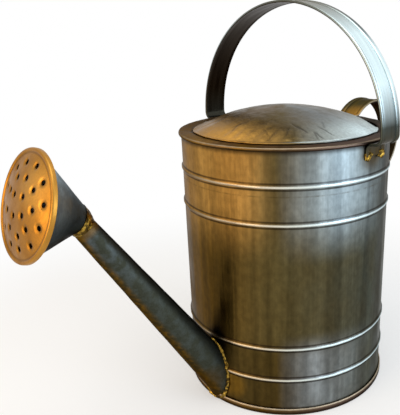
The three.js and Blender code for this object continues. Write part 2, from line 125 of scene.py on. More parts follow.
# The camera that the photograph was taken from, fitted to the circles of the body and the rose
CAMERA_PLACE = (-354.6, -395.8, 350.0)
CAMERA_FORWARD = (0.6543, 0.6943, -0.2999)
CAMERA_ROLL = math.radians(-0.96)
FOCAL_PIXELS = 588.7
PHOTO_SIZE = (400, 415)
PHOTO_CENTRE_X = 262
SENSOR = 36.0

SEED = 11


def linear(code):
    """The linear colour of an sRGB hex value."""
    parts = [int(code[i:i + 2], 16) / 255 for i in (0, 2, 4)]
    return tuple(c / 12.92 if c <= 0.04045 else ((c + 0.055) / 1.055) ** 2.4 for c in parts)


def tint(name, code, description):
    """A colour that a user may change, written as an sRGB hex value."""
    return bpy.props.FloatVectorProperty(
        name=name, description=description, default=linear(code), subtype="COLOR", size=3, min=0, max=1)


def size(name, millimetres, description):
    """A length that a user may change, in millimetres here and in metres in Blender."""
    return bpy.props.FloatProperty(
        name=name, description=description, default=millimetres * MM, min=0, unit="LENGTH", precision=4)


def power(name, watts, description):
    """The power of a lamp that a user may change."""
    return bpy.props.FloatProperty(name=name, description=description, default=watts, min=0, unit="POWER")


class WateringCanSizes(bpy.types.PropertyGroup):
    """Sizes of the fine forms that only the render shows."""

    bead_proud: size("Bead height", 1.3, "How far each swaged bead stands proud of the wall")
    bead_half_width: size("Bead half width", 3.2, "From the crest of a bead to the flat wall")
    wall_flats: size("Wall flats", 0.16, "Depth of the flats that the rolls left down the wall")
    seam_width: size("Seam width", 7, "Width of the lap seam down the back of the wall")
    seam_proud: size("Seam step", 0.7, "Height of the lap seam")
    hood_dents: size("Hood dents", 0.5, "Depth of the hammer marks in the hood")
    rim_knock: size("Rim knock", 1.5, "How deep the two knocks in the flat of the rim are")
    hood_creases: size("Hood creases", 0.9, "Depth of the creases round the foot of the hood")
    narrow_hem: size("Narrow hem", 3, "Width of the folded hem along one edge of a strap")
    wide_hem: size("Wide hem", 6, "Width of the folded hem along the other edge")
    hem_proud: size("Hem height", 0.8, "How far the hem stands proud of the strap")
    braze_radius: size("Braze bead", 3, "Radius of the bead of braze round the spout")
    dimple_depth: size("Hole dimple", 0.8, "How far the metal is drawn in round each hole of the rose")


class WateringCanColours(bpy.types.PropertyGroup):
    """Colours of the metal and its tarnish."""

    # Deep brown is also laid on as painted shadow round the carrying handle's feet and on the strap's feet,
    # and as painted reflection under the spout
    shade: tint("Deep brown", "46381a", "Deepest warm tarnish of the wall")
    umber: tint("Umber", "573f12", "Dark brown tarnish of the wall")
    ochre: tint("Ochre", "6c5021", "Warm tarnish of the wall")
    bronze: tint("Bronze", "8c672b", "Tarnish half rubbed through")
    # Old gold is also the warm painted reflection high on the front of the wall
    gold: tint("Old gold", "b48541", "Tarnish rubbed through to a warm shine")
    olive: tint("Olive", "554a2b", "Green-brown tarnish of the wall")
    drab: tint("Drab", "655634", "Brown-grey tarnish of the wall")
    pewter: tint("Pewter", "716752", "Grey tarnish of the wall")
    ash: tint("Ash", "82888a", "Zinc half rubbed bright")
    # Frost is also the cool painted reflection on the wall's shoulder and part of the painted highlight on
    # the rose cone
    frost: tint("Frost", "a6b8c0", "Zinc rubbed bright")
    # Ice is painted reflection and highlight: along the beads' crests, round the hood's foot and on the
    # carrying handle's shoulders
    ice_sheen: tint("Ice", "e6fafe", "Zinc rubbed palest, on the hood's foot and the handle's shoulders")
    steel: tint("Steel", "596567", "Cool grey tarnish")
    slate: tint("Slate", "4a4e45", "Dark cool tarnish")
    # Iron is also painted shade and dark reflection on the handles' edges, hems and folds and along the
    # spout's top
    iron: tint("Iron", "373a34", "Darkest cool tarnish")
    moss: tint("Moss", "41443a", "Dark green-grey tarnish of the spout")
    lead: tint("Lead", "5d666b", "Blue-grey patches on the spout and cone")
    mauve: tint("Mauve", "66544a", "Brown-mauve tarnish of the flat rim")
    # Cream is painted highlight along the beads, the rolled edges and the back handle's front edge
    cream_highlight: tint("Cream", "d2c4aa", "Bright line along beads and edges")
    # Soot is scorch at the spout's joint and, mostly, painted shade: in the grooves beside the beads, under
    # the rims, round the hood's foot, in its creases, in the handles' folds and under the cone; along the
    # spout's top it is painted dark reflection
    soot_and_shade: tint("Soot", "1e150d", "Dirt in grooves and scorched metal at the joints")
    # Painted shade inside the handles
    strap_inside_shade: tint("Strap inside", "2a1f12", "Near-black tarnish inside the handles")
    # Brown stains from the flux, and painted warm reflection under the spout
    rust_and_warm_reflection: tint("Brown stain", "76561a", "Brown-gold stain left by the flux")
    brass: tint("Brass", "ab762a", "Aged sheet brass of the rose")
    # Painted highlight on the rose, the braze and the hood's foot
    brass_highlight: tint("Bright brass", "cd9846", "Brass rubbed bright")
    # Darker brass in clouds and specks, and painted shade in the rose's crease and round its holes
    brass_dark_and_shade: tint("Dark brass", "7a5219", "Brass darkened in its creases")
    braze: tint("Braze", "cfab48", "Yellow brass of the brazed joints")
    floor: tint("Floor", "f4f4f2", "Plain pale studio floor")


class WateringCanStage(bpy.types.PropertyGroup):
    """Light of the studio."""

    surround: bpy.props.FloatProperty(
        name="Surround", description="Strength of the even light from all round", default=0.62, min=0)
    warm_lamp: power("Warm lamp", 7, "Power of the soft lamp on the spout's side")
    cool_lamp: power("Cool lamp", 9, "Power of the soft lamp on the other side")
    top_lamp: power("Top lamp", 8, "Power of the soft lamp overhead")


# Mesh

def skin(rows, wrap=True, ring=False, caps=False):
    """Points and faces laid over equal rows of points.
    wrap closes each row, and ring joins the last row to the first."""
    width = len(rows[0])
    faces = []
    for i in range(len(rows) if ring else len(rows) - 1):
        here, there = i * width, ((i + 1) % len(rows)) * width
        for k in range(width if wrap else width - 1):
            after = (k + 1) % width
            faces.append((here + k, here + after, there + after, there + k))
    if caps:
        last = (len(rows) - 1) * width
        faces.append(tuple(reversed(range(width))))
        faces.append(tuple(range(last, last + width)))
    return [point for row in rows for point in row], faces


def add_piece(name, surface, material, node, place=None, sharp=38):
    """A dressed piece of the can from points in millimetres about the body's axis, for its CAD node.
    place holds three values for each point, such as its distances along and across, for the material."""
    points, faces = surface
    mesh = bpy.data.meshes.new(name)
    mesh.from_pydata([((x + AXIS_X) * MM, y * MM, z * MM) for x, y, z in points], [], faces)
    if place:
        layer = mesh.attributes.new("place", "FLOAT_VECTOR", "POINT")
        layer.data.foreach_set("vector", [value for triple in place for value in triple])
    tidy = bmesh.new()
    tidy.from_mesh(mesh)
    bmesh.ops.remove_doubles(tidy, verts=tidy.verts, dist=0.01 * MM)
    bmesh.ops.recalc_face_normals(tidy, faces=tidy.faces)
    tidy.to_mesh(mesh)
    tidy.free()
    mesh.shade_smooth()
    mesh.set_sharp_from_angle(angle=math.radians(sharp))
    mesh.materials.append(material)
    piece = bpy.data.objects.new(name, mesh)
    bpy.context.scene.collection.objects.link(piece)
    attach(piece, "root")
    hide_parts(node)
    return piece


def cut_away(piece, surface, sharp=38):
    """Cut a closed shape, given as points and faces, out of a piece."""
    points, faces = surface
    mesh = bpy.data.meshes.new("cutter")
    mesh.from_pydata([((x + AXIS_X) * MM, y * MM, z * MM) for x, y, z in points], [], faces)
    tidy = bmesh.new()
    tidy.from_mesh(mesh)
    bmesh.ops.recalc_face_normals(tidy, faces=tidy.faces)
    tidy.to_mesh(mesh)
    tidy.free()
    cutter = bpy.data.objects.new("cutter", mesh)
    bpy.context.scene.collection.objects.link(cutter)
    trim = piece.modifiers.new("cut", "BOOLEAN")
    trim.operation = "DIFFERENCE"
    trim.solver = "EXACT"
    trim.object = cutter
    bpy.context.view_layer.update()
    shaped = bpy.data.meshes.new_from_object(piece.evaluated_get(bpy.context.evaluated_depsgraph_get()))
    if len(shaped.polygons) < len(piece.data.polygons) / 2:
        raise RuntimeError(f"the cut through {piece.name} failed")
    piece.modifiers.remove(trim)
    old, piece.data = piece.data, shaped
    bpy.data.meshes.remove(old)
    bpy.data.objects.remove(cutter)
    shaped.name = piece.name
    shaped.shade_smooth()
    shaped.set_sharp_from_angle(angle=math.radians(sharp))


def turned(outline, steps=256, reshape=None):
    """Spin a closed outline of (radius, height) about the body's axis; reshape may move each point."""
    rows = []
    for i in range(steps):
        turn = 2 * math.pi * i / steps
        row = []
        for radius, height in outline:
            if reshape:
                radius, height = reshape(turn, radius, height)
            row.append((-radius * math.cos(turn), radius * math.sin(turn), height))
        rows.append(row)
    return skin(rows, ring=True)


def circle_points(centre, radius, angles):
    """Points round a centre of (across, up), at angles in degrees."""
    return [(centre[0] + radius * math.cos(math.radians(t)), centre[1] + radius * math.sin(math.radians(t)))
            for t in angles]


def smooth(value, start, end):
    """Eased step from 0 at start to 1 at end."""
    t = min(max((value - start) / (end - start), 0), 1)
    return t * t * (3 - 2 * t)


def rough(point, grain, seed=0):
    """Smooth random value from -1 to 1 at a point in millimetres, changing over the grain."""
    return noise.noise(Vector(point) / grain + Vector((seed * 7.3, seed * 3.1, seed * 5.7)))


def wrap_degrees(angle):
    return (angle + 180) % 360 - 180


def hoop_point(centre, tilt, radius, angle):
    """A point of a ring in the plane of the spout, round a centre of (reach, height)."""
    reach, height = centre
    lift = radius * math.sin(angle)
    return Vector((-reach + lift * math.sin(tilt), radius * math.cos(angle), height + lift * math.cos(tilt)))


def spout_radius(along):
    return SPOUT_BASE_RADIUS - SPOUT_TAPER * along


def spout_centre(along):
    return SPOUT_AXIS_REACH + along * math.cos(SPOUT_ANGLE), SPOUT_AXIS_HEIGHT + along * math.sin(SPOUT_ANGLE)


def wall_radius(height, proud, half_width):
    """Outside radius of the wall, beads included."""
    taper = (WALL_TOP_RADIUS - WALL_BOTTOM_RADIUS) / (WALL_TOP - WALL_BOTTOM)
    swell = 0
    for bead in BEAD_HEIGHTS:
        away = abs(height - bead) / half_width
        if away < 1:
            swell = proud * (1 + math.cos(math.pi * away)) / 2
    return WALL_BOTTOM_RADIUS + taper * (height - WALL_BOTTOM) + swell


# The two knocks in the rim: the angle from the spout of each, and how far it reaches to either side
RIM_KNOCKS = ((50, 30), (-124, 18))


def rim_drop(degrees, radius, sizes):
    """How far a knock has pushed the flat of the rim and the hood's foot down here, in millimetres."""
    knocked = max(1 - smooth(abs(wrap_degrees(degrees - middle)), reach / 3, reach)
                  for middle, reach in RIM_KNOCKS)
    return sizes.rim_knock / MM * knocked * smooth(radius, 30, 80) * (1 - smooth(radius, 93, 99))


def leaves_wall(angle, sizes):
    """How far along the spout its side, at this angle round it, comes out of the wall."""
    inner, outer = -60, 60
    for _ in range(30):
        along = (inner + outer) / 2
        point = hoop_point(spout_centre(along), SPOUT_ANGLE, spout_radius(along), angle)
        surface = wall_radius(point.z, sizes.bead_proud / MM, sizes.bead_half_width / MM)
        if math.hypot(point.x, point.y) > surface:
            outer = along
        else:
            inner = along
    return outer


# Materials

def add(tree, kind, links=None, **settings):
    """Add a node with its settings, and give its inputs their values or links."""
    made = tree.nodes.new(kind)
    for name, value in settings.items():
        setattr(made, name, value)
    for name, value in (links or {}).items():
        if isinstance(value, bpy.types.NodeSocket):
            tree.links.new(value, made.inputs[name])
        elif hasattr(value, "__len__") and len(value) == 3 and len(made.inputs[name].default_value) == 4:
            made.inputs[name].default_value = (*value, 1)
        else:
            made.inputs[name].default_value = value
    return made


def finish(name, build, colours):
    """The material of that name, laid out afresh in the colours that are set."""
    material = bpy.data.materials.get(name) or bpy.data.materials.new(name)
    material.use_nodes = True
    material.node_tree.nodes.clear()
    build(material.node_tree, colours)
    return material


def between(tree, value, low, high):
    """A value from 0 to 1 laid out between low and high."""
    return add(tree, "ShaderNodeMapRange", {"Value": value, "To Min": low, "To Max": high}).outputs[0]


def fade(tree, value, full, none):
    """Mask of 1 where a value is at full, falling to 0 where it is at none."""
    return add(tree, "ShaderNodeMapRange", {"Value": value, "From Min": none, "From Max": full},
               interpolation_type="SMOOTHSTEP").outputs[0]


def near(tree, value, centre, inside, outside):
    """Mask of 1 where a value is within inside of the centre, fading to 0 at outside."""
    away = add(tree, "ShaderNodeMath", {0: value, 1: centre}, operation="SUBTRACT").outputs[0]
    away = add(tree, "ShaderNodeMath", {0: away}, operation="ABSOLUTE").outputs[0]
    return fade(tree, away, inside, outside)


def spot(tree, coordinates, centre, inside, outside):
    """Mask of 1 round a point in millimetres about the body's axis."""
    x, y, z = centre
    away = add(tree, "ShaderNodeVectorMath", {0: coordinates, 1: ((x + AXIS_X) * MM, y * MM, z * MM)},
               operation="DISTANCE").outputs["Value"]
    return fade(tree, away, inside * MM, outside * MM)


def grained(tree, coordinates, stretch, grain, detail=2.0, contrast=(0.35, 0.65)):
    """Noise from 0 to 1 with a grain in millimetres, stretched along any of the axes."""
    drawn = add(tree, "ShaderNodeVectorMath", {0: coordinates, 1: tuple(1 / s for s in stretch)},
                operation="MULTIPLY").outputs[0]
    field = add(tree, "ShaderNodeTexNoise", {"Vector": drawn, "Scale": 1 / (grain * MM), "Detail": detail})
    return add(tree, "ShaderNodeMapRange", {"Value": field.outputs["Fac"], "From Min": contrast[0],
                                            "From Max": contrast[1]}).outputs[0]


def shades(tree, value, first, last, stops):
    """Colours laid out along a value between first and last, each stop a value and a colour."""
    fac = add(tree, "ShaderNodeMapRange", {"Value": value, "From Min": first, "From Max": last}).outputs[0]
    ramp = add(tree, "ShaderNodeValToRGB", {0: fac})
    elements = ramp.color_ramp.elements
    for i, (at, colour) in enumerate(stops):
        element = elements[i] if i < 2 else elements.new(1)
        element.position = (at - first) / (last - first)
        element.color = (*colour, 1)
    return ramp.outputs["Color"]


def layered(tree, base, layers):
    """Colours laid over a base, each through one or more masks that are multiplied."""
    for masks, colour in layers:
        share = masks[0]
        for mask in masks[1:]:
            share = add(tree, "ShaderNodeMath", {0: share, 1: mask}, operation="MULTIPLY").outputs[0]
        base = add(tree, "ShaderNodeMix", {0: share, 6: base, 7: colour}, data_type="RGBA").outputs[2]
    return base


def uneven(tree, colour, patterns):
    """A colour made lighter and darker by patterns, each with its darkest and lightest strength."""
    for pattern, darkest, lightest in patterns:
        shade = between(tree, pattern, darkest, lightest)
        colour = add(tree, "ShaderNodeVectorMath", {0: colour, "Scale": shade}, operation="SCALE").outputs[0]
    return colour


def metal_surface(tree, colour, rough_from, polish, dull, height, relief, edge):
    """The metal itself: its colour, a roughness between polish and dull, a relief in millimetres, and edge,
    how much of its shine tarnish leaves where the metal is seen at a glancing angle."""
    roughness = between(tree, rough_from, polish, dull)
    bump = add(tree, "ShaderNodeBump", {"Strength": 1.0, "Distance": relief * MM, "Height": height})
    shader = add(tree, "ShaderNodeBsdfPrincipled", {
        "Base Color": colour, "Metallic": 1.0, "Roughness": roughness, "Specular Tint": (edge, edge, edge, 1),
        "Normal": bump.outputs["Normal"]})
    add(tree, "ShaderNodeOutputMaterial", {"Surface": shader.outputs["BSDF"]})


def round_body(tree):
    """Object coordinates, the angle in degrees round the body's axis from the spout, the height, the distance
    from the axis, and coordinates that run round the wall and up it."""
    where = add(tree, "ShaderNodeTexCoord").outputs["Object"]
    parts = add(tree, "ShaderNodeSeparateXYZ", {0: where}).outputs
    ahead = add(tree, "ShaderNodeMath", {0: AXIS_X * MM, 1: parts["X"]}, operation="SUBTRACT").outputs[0]
    angle = add(tree, "ShaderNodeMath", {0: parts["Y"], 1: ahead}, operation="ARCTAN2").outputs[0]
    degrees = add(tree, "ShaderNodeMath", {0: angle}, operation="DEGREES").outputs[0]
    level = add(tree, "ShaderNodeCombineXYZ", {"X": ahead, "Y": parts["Y"]}).outputs[0]
    radius = add(tree, "ShaderNodeVectorMath", {0: level}, operation="LENGTH").outputs["Value"]
    arc = add(tree, "ShaderNodeMath", {0: angle, 1: WALL_TOP_RADIUS * MM}, operation="MULTIPLY").outputs[0]
    flat = add(tree, "ShaderNodeCombineXYZ", {"X": arc, "Z": parts["Z"]}).outputs[0]
    return where, degrees, parts["Z"], radius, flat


def piece_places(tree):
    """The distances along and across a piece that its mesh carries, as one vector and as three values."""
    place = add(tree, "ShaderNodeAttribute", attribute_name="place").outputs["Vector"]
    parts = add(tree, "ShaderNodeSeparateXYZ", {0: place}).outputs
    return place, parts["X"], parts["Y"], parts["Z"]


def wall_zinc(tree, colours):
    """Zinc-coated sheet steel, rolled into a cylinder and swaged, then antiqued and rubbed down by hand.
    To the eye it is satin metal in upright streaks, warm brown to cool grey, with painted reflections round
    it and a painted highlight along each bead."""
    where, degrees, height, _, flat = round_body(tree)
    c = colours
    # The ramps round the wall paint the lamps' reflections into the tarnish colours: a warm bright zone near
    # -15 degrees and a cool bright zone near -70 on the shoulder, duller in the waist and at the foot. The
    # last ramp is the painted highlight along the beads' crests.
    shoulder = shades(tree, degrees, -180, 180, [
        (-180, c.slate), (-110, c.iron), (-70, c.frost), (-40, c.drab), (-15, c.gold), (50, c.ochre),
        (180, c.slate)])
    waist = shades(tree, degrees, -180, 180, [
        (-180, c.slate), (-90, c.moss), (-40, c.olive), (0, c.umber), (60, c.ochre), (180, c.slate)])
    foot = shades(tree, degrees, -180, 180, [
        (-180, c.slate), (-100, c.slate), (-60, c.ash), (-40, c.shade), (30, c.shade), (180, c.slate)])
    crest_highlight = shades(tree, degrees, -180, 180, [
        (-180, c.ash), (-70, c.ice_sheen), (-30, c.cream_highlight), (20, c.ochre), (110, c.cream_highlight), (180, c.ash)])

    # Upright streaks about 15, 9 and 2 mm apart, as the rubbing pad left them, and soft clouds of tarnish
    wide = grained(tree, flat, (1, 1, 24), 9, 3.0, (0.4, 0.6))
    band = grained(tree, flat, (1, 1, 30), 15, 2.0, (0.42, 0.58))
    fine = grained(tree, flat, (1, 1, 22), 2.2, 2.0, (0.36, 0.64))
    cloud = grained(tree, flat, (1, 1, 1.7), 22, 5.0, (0.38, 0.64))
    mottle = grained(tree, flat, (1, 1, 1.4), 5, 5.0, (0.38, 0.64))
    upper = fade(tree, height, 208 * MM, 146 * MM)
    lower = fade(tree, height, 56 * MM, 86 * MM)
    tone = add(tree, "ShaderNodeMix", {0: upper, 6: waist, 7: shoulder}, data_type="RGBA").outputs[2]
    tone = add(tree, "ShaderNodeMix", {0: lower, 6: tone, 7: foot}, data_type="RGBA").outputs[2]

    distance = None
    for bead in BEAD_HEIGHTS:
        away = add(tree, "ShaderNodeMath", {0: height, 1: bead * MM}, operation="SUBTRACT").outputs[0]
        away = add(tree, "ShaderNodeMath", {0: away}, operation="ABSOLUTE").outputs[0]
        distance = away if distance is None else add(
            tree, "ShaderNodeMath", {0: distance, 1: away}, operation="MINIMUM").outputs[0]
    crest = near(tree, distance, 0, 0.3 * MM, 1.4 * MM)
    groove = near(tree, distance, 2.7 * MM, 0.3 * MM, 1.3 * MM)
    tool_mark = near(tree, height, (BEAD_HEIGHTS[3] - TOOL_MARK_BELOW) * MM, 0.1 * MM, 1.1 * MM)
    under_rim = fade(tree, height, 250 * MM, 245 * MM)
    tone = layered(tree, tone, [
        ((cloud, 0.3), c.shade),
        ((spot(tree, where, (-98, -22, 24), 7, 20), 0.75), c.rust_and_warm_reflection),
        ((spot(tree, where, (-99, -6, 66), 6, 17), 0.85), c.soot_and_shade),
        # Painted shadow round the carrying handle's foot
        ((spot(tree, where, (6, -100, 243), 8, 22), 0.8), c.shade),
        ((tool_mark, wide, 0.45), c.shade),
        # Painted shade in the grooves beside each bead
        ((groove, 0.75), c.soot_and_shade),
        # Painted shadow under the rolled rim
        ((under_rim, 0.8), c.soot_and_shade)])
    tone = uneven(tree, tone, [
        (band, 0.82, 1.2), (wide, 0.93, 1.07), (fine, 0.95, 1.05), (mottle, 0.88, 1.12)])
    # Painted highlight along each bead's crest
    tone = add(tree, "ShaderNodeMix", {0: crest, 6: tone, 7: crest_highlight}, data_type="RGBA").outputs[2]
    relief = add(tree, "ShaderNodeMath", {0: fine, 1: wide}, operation="ADD").outputs[0]
    metal_surface(tree, tone, cloud, 0.3, 0.46, relief, 0.03, 0.6)


def hood_zinc(tree, colours):
    """The same zinc-coated sheet, hammered into a shallow dome.
    The eye sees soft dents and creases where the foot was shrunk; its colour carries painted reflections,
    painted shade in the creases and a painted highlight round the foot."""
    where, degrees, height, _, flat = round_body(tree)
    c = colours
    # The ramps round the hood paint the lamps' reflections into its colour: warm and bright towards the
    # spout, pale and cool on the far side.
    foot = shades(tree, degrees, -180, 180, [
        (-180, c.pewter), (-100, c.ice_sheen), (-50, c.drab), (-10, c.brass_highlight), (60, c.ochre), (180, c.pewter)])
    crown = shades(tree, degrees, -180, 180, [
        (-180, c.pewter), (-90, c.ash), (-40, c.drab), (20, c.ochre), (90, c.olive), (180, c.pewter)])
    up = fade(tree, height, 270 * MM, 256.5 * MM)
    mottle = grained(tree, where, (1, 1, 1), 9, 4.0, (0.32, 0.68))
    speck = grained(tree, where, (1, 1, 1), 2.2, 3.0, (0.32, 0.68))
    brushed = grained(tree, flat, (1, 1, 10), 3.2, 2.0, (0.3, 0.7))
    _, crease, lip, _ = piece_places(tree)
    tone = add(tree, "ShaderNodeMix", {0: up, 6: foot, 7: crown}, data_type="RGBA").outputs[2]
    tone = layered(tree, tone, [
        ((mottle, up, 0.35), c.olive),
        ((mottle, 0.16), c.shade),
        # Painted shade in the creases
        ((crease, 0.85), c.soot_and_shade),
        # Painted highlight round the foot on the far side from the spout
        ((lip, near(tree, degrees, -85, 25, 45), 0.7), c.ice_sheen)])
    tone = uneven(tree, tone, [(mottle, 0.84, 1.16), (speck, 0.9, 1.1), (brushed, 0.95, 1.05)])
    metal_surface(tree, tone, mottle, 0.28, 0.44, mottle, 0.25, 0.7)


def rim_zinc(tree, colours):
    """Flat zinc sheet with its edge rolled over, the colour of old pewter with a brown bloom.
    A painted highlight makes a thin light line along the rolled edge, and painted shade darkens under the
    roll, round the hood's foot and at the bottom of the base pan."""
    where, degrees, height, radius, _ = round_body(tree)
    c = colours
    mottle = grained(tree, where, (1, 1, 1), 5, 3.0, (0.3, 0.7))
    blotch = grained(tree, where, (1, 1, 1), 22, 3.0, (0.38, 0.64))
    plate = fade(tree, height, 200 * MM, 100 * MM)
    # The ramp round the rim and base pan is tarnish with painted light in it: bronze towards the spout,
    # near-black at the back.
    base = shades(tree, degrees, -180, 180, [
        (-180, c.iron), (-70, c.mauve), (-40, c.umber), (0, c.bronze), (60, c.umber), (180, c.iron)])
    edge = near(tree, radius, (PLATE_RADIUS - 0.7) * MM, 0.1 * MM, 1.0 * MM)
    lit = near(tree, degrees, -50, 50, 100)
    over = near(tree, height, PLATE_TOP * MM, 0.6 * MM, 1.2 * MM)
    under = near(tree, height, (PLATE_TOP - 3.6) * MM, 1.0 * MM, 2.4 * MM)
    pan_edge = near(tree, height, (PAN_ROLL_HEIGHT - 0.4) * MM, 0.5 * MM, 1.2 * MM)
    pan_foot = near(tree, height, 0, 2.4 * MM, 4.4 * MM)
    hood_foot = near(tree, radius, (HOOD_RADIUS + 1) * MM, 2.0 * MM, 4.4 * MM)
    tone = layered(tree, base, [
        ((blotch, 0.45), c.mauve),
        # Painted shadow round the hood's foot and under the rolled edge, painted highlights along the rolled
        # edges of rim and base pan, and painted shade at the foot of the base pan
        ((hood_foot, plate, 0.7), c.soot_and_shade),
        ((under, 0.75), c.soot_and_shade),
        ((edge, over, lit, 0.3), c.cream_highlight),
        ((pan_edge, 0.5), c.cream_highlight),
        ((pan_foot, 0.75), c.soot_and_shade)])
    tone = uneven(tree, tone, [(mottle, 0.84, 1.14)])
    metal_surface(tree, tone, mottle, 0.36, 0.52, mottle, 0.05, 0.4)


def strap_zinc(tree, colours):
    """Zinc-coated strap, bent over a former with its edges folded into hems.
    Outside, its shoulders carry a pale painted reflection and its feet a painted shadow under the rim; inside
    it is painted near-black shade."""
    place, _, across, outward = piece_places(tree)
    _, _, height, _, _ = round_body(tree)
    c = colours
    # Outside: painted shadow on the feet under the rim and a pale painted reflection on the shoulders.
    # Inside: painted near-black shade.
    outside = shades(tree, height, 240 * MM, 370 * MM, [
        (240 * MM, c.shade), (265 * MM, c.iron), (300 * MM, c.ice_sheen), (340 * MM, c.ice_sheen), (370 * MM, c.pewter)])
    inside = shades(tree, height, 240 * MM, 370 * MM, [
        (240 * MM, c.iron), (284 * MM, c.strap_inside_shade), (370 * MM, c.strap_inside_shade)])
    streak = grained(tree, place, (40, 1, 1), 1.8, 2.0, (0.3, 0.7))
    wide = grained(tree, place, (9, 1, 1), 6, 3.0, (0.36, 0.64))
    back = fade(tree, outward, -0.4 * MM, -0.1 * MM)
    half = STRAP_WIDTH / 2
    folds = [near(tree, across, (half - 6.3) * MM, 0.1 * MM, 0.7 * MM),
             near(tree, across, (3.3 - half) * MM, 0.1 * MM, 0.7 * MM)]
    lip = near(tree, across, half * MM, 0.2 * MM, 0.7 * MM)
    front_lip = near(tree, across, -half * MM, 0.2 * MM, 0.7 * MM)
    rear_hem = near(tree, across, (half - 2.6) * MM, 1.6 * MM, 3.2 * MM)
    high = fade(tree, height, 346 * MM, 326 * MM)
    tone = layered(tree, outside, [
        ((wide, 0.12), c.steel),
        # Painted dark reflection on the rear hem near the top, and painted shade in the hems' folds and along
        # both edges
        ((rear_hem, high, 0.8), c.iron),
        ((folds[0], 0.7), c.steel),
        ((folds[1], 0.75), c.iron),
        ((lip, 0.6), c.iron),
        ((front_lip, 0.7), c.slate)])
    tone = add(tree, "ShaderNodeMix", {0: back, 6: tone, 7: inside}, data_type="RGBA").outputs[2]
    tone = uneven(tree, tone, [(streak, 0.9, 1.08)])
    metal_surface(tree, tone, wide, 0.28, 0.42, streak, 0.02, 0.8)


def back_strap_zinc(tree, colours):
    """The same strap, less handled: dark olive outside, painted near-black shade inside, amber where it was
    brazed.
    """
    place, _, across, outward = piece_places(tree)
    where = add(tree, "ShaderNodeTexCoord").outputs["Object"]
    c = colours
    streak = grained(tree, place, (40, 1, 1), 1.8, 2.0, (0.3, 0.7))
    wide = grained(tree, place, (6, 1, 1), 7, 3.0, (0.36, 0.64))
    back = fade(tree, outward, -0.4 * MM, -0.1 * MM)
    half = STRAP_WIDTH / 2
    tone = layered(tree, (*c.olive, 1), [
        ((wide, 0.45), c.iron),
        ((spot(tree, where, (93, -6, 252), 10, 24), 0.8), c.bronze),
        ((spot(tree, where, (90, -6, 250), 4, 16), 0.7), c.gold),
        ((spot(tree, where, (101, 0, 108), 10, 24), 0.6), c.rust_and_warm_reflection),
        # Painted shade inside and in the hems' folds, and a painted highlight along the front edge
        ((back, 0.95), c.strap_inside_shade),
        ((near(tree, across, (half - 6.3) * MM, 0.1 * MM, 0.8 * MM), 0.7), c.soot_and_shade),
        ((near(tree, across, (3.3 - half) * MM, 0.1 * MM, 0.8 * MM), 0.7), c.soot_and_shade),
        ((near(tree, across, -half * MM, 0.1 * MM, 0.5 * MM), 0.35), c.cream_highlight)])
    tone = uneven(tree, tone, [(streak, 0.88, 1.1)])
    metal_surface(tree, tone, wide, 0.34, 0.48, streak, 0.02, 0.4)


def spout_zinc(tree, colours):
    """Zinc-coated sheet rolled into a tapered tube and darkened in the fire when it was brazed.
    The eye sees blotchy green-grey with cloudy blue-grey patches, a painted warm brown-gold reflection
    underneath and a painted dark reflection along the top."""
    where = add(tree, "ShaderNodeTexCoord").outputs["Object"]
    _, along, _, top = piece_places(tree)
    c = colours
    cloud = grained(tree, where, (1, 1, 1), 9, 4.0, (0.42, 0.66))
    blot = grained(tree, where, (1, 1, 1), 4.5, 4.0, (0.42, 0.66))
    fine = grained(tree, where, (1, 1, 1), 1.3, 3.0, (0.3, 0.7))
    under = fade(tree, top, -0.9, -0.55)
    over = fade(tree, top, 0.6, 0.15)
    ridge = fade(tree, top, 0.95, 0.6)
    tip = near(tree, along, 205 * MM, 12 * MM, 80 * MM)
    collar = near(tree, along, 211 * MM, 2 * MM, 8 * MM)
    root = spot(tree, where, (-112, 0, 30), 12, 26)
    tone = layered(tree, (*c.moss, 1), [
        ((cloud, 0.35), c.steel),
        ((tip, cloud, 0.6), c.lead),
        ((blot, 0.35), c.iron),
        # Painted dark reflection along the top, and painted warm reflection underneath
        ((over, 0.6), c.iron),
        ((ridge, 0.8), c.soot_and_shade),
        ((under, 0.8), c.shade),
        ((under, blot, 0.5), c.rust_and_warm_reflection),
        ((collar, 0.6), c.rust_and_warm_reflection),
        ((root, 0.5), c.umber)])
    tone = uneven(tree, tone, [(fine, 0.88, 1.1), (blot, 0.92, 1.08)])
    metal_surface(tree, tone, cloud, 0.54, 0.42, blot, 0.05, 0.35)


def cone_zinc(tree, colours):
    """The cone of the rose, the same fire-darkened sheet, with a painted blue-grey highlight on top behind
    the face and painted shade underneath.
    """
    _, along, _, top = piece_places(tree)
    where = add(tree, "ShaderNodeTexCoord").outputs["Object"]
    c = colours
    cloud = grained(tree, where, (1, 1, 1), 9, 4.0, (0.38, 0.66))
    fine = grained(tree, where, (1, 1, 3), 1.3, 3.0, (0.3, 0.7))
    upper = fade(tree, top, 0.4, -0.7)
    below = fade(tree, top, -0.75, -0.3)
    highlight_band = near(tree, along, 0.86, 0.03, 0.55)
    scratch = spot(tree, where, (-243, -27, 244), 2.4, 5)
    tone = layered(tree, (*c.moss, 1), [
        ((cloud, 0.5), c.lead),
        # Painted highlight on top, brightest in a band behind the face, and painted shade underneath
        ((upper, 0.8), c.lead),
        ((highlight_band, upper, 0.9), c.ash),
        ((highlight_band, upper, cloud, 0.9), c.frost),
        ((below, 0.9), c.soot_and_shade),
        ((scratch, fine, 0.8), c.frost)])
    tone = uneven(tree, tone, [(fine, 0.88, 1.1)])
    metal_surface(tree, tone, cloud, 0.5, 0.38, cloud, 0.08, 0.4)


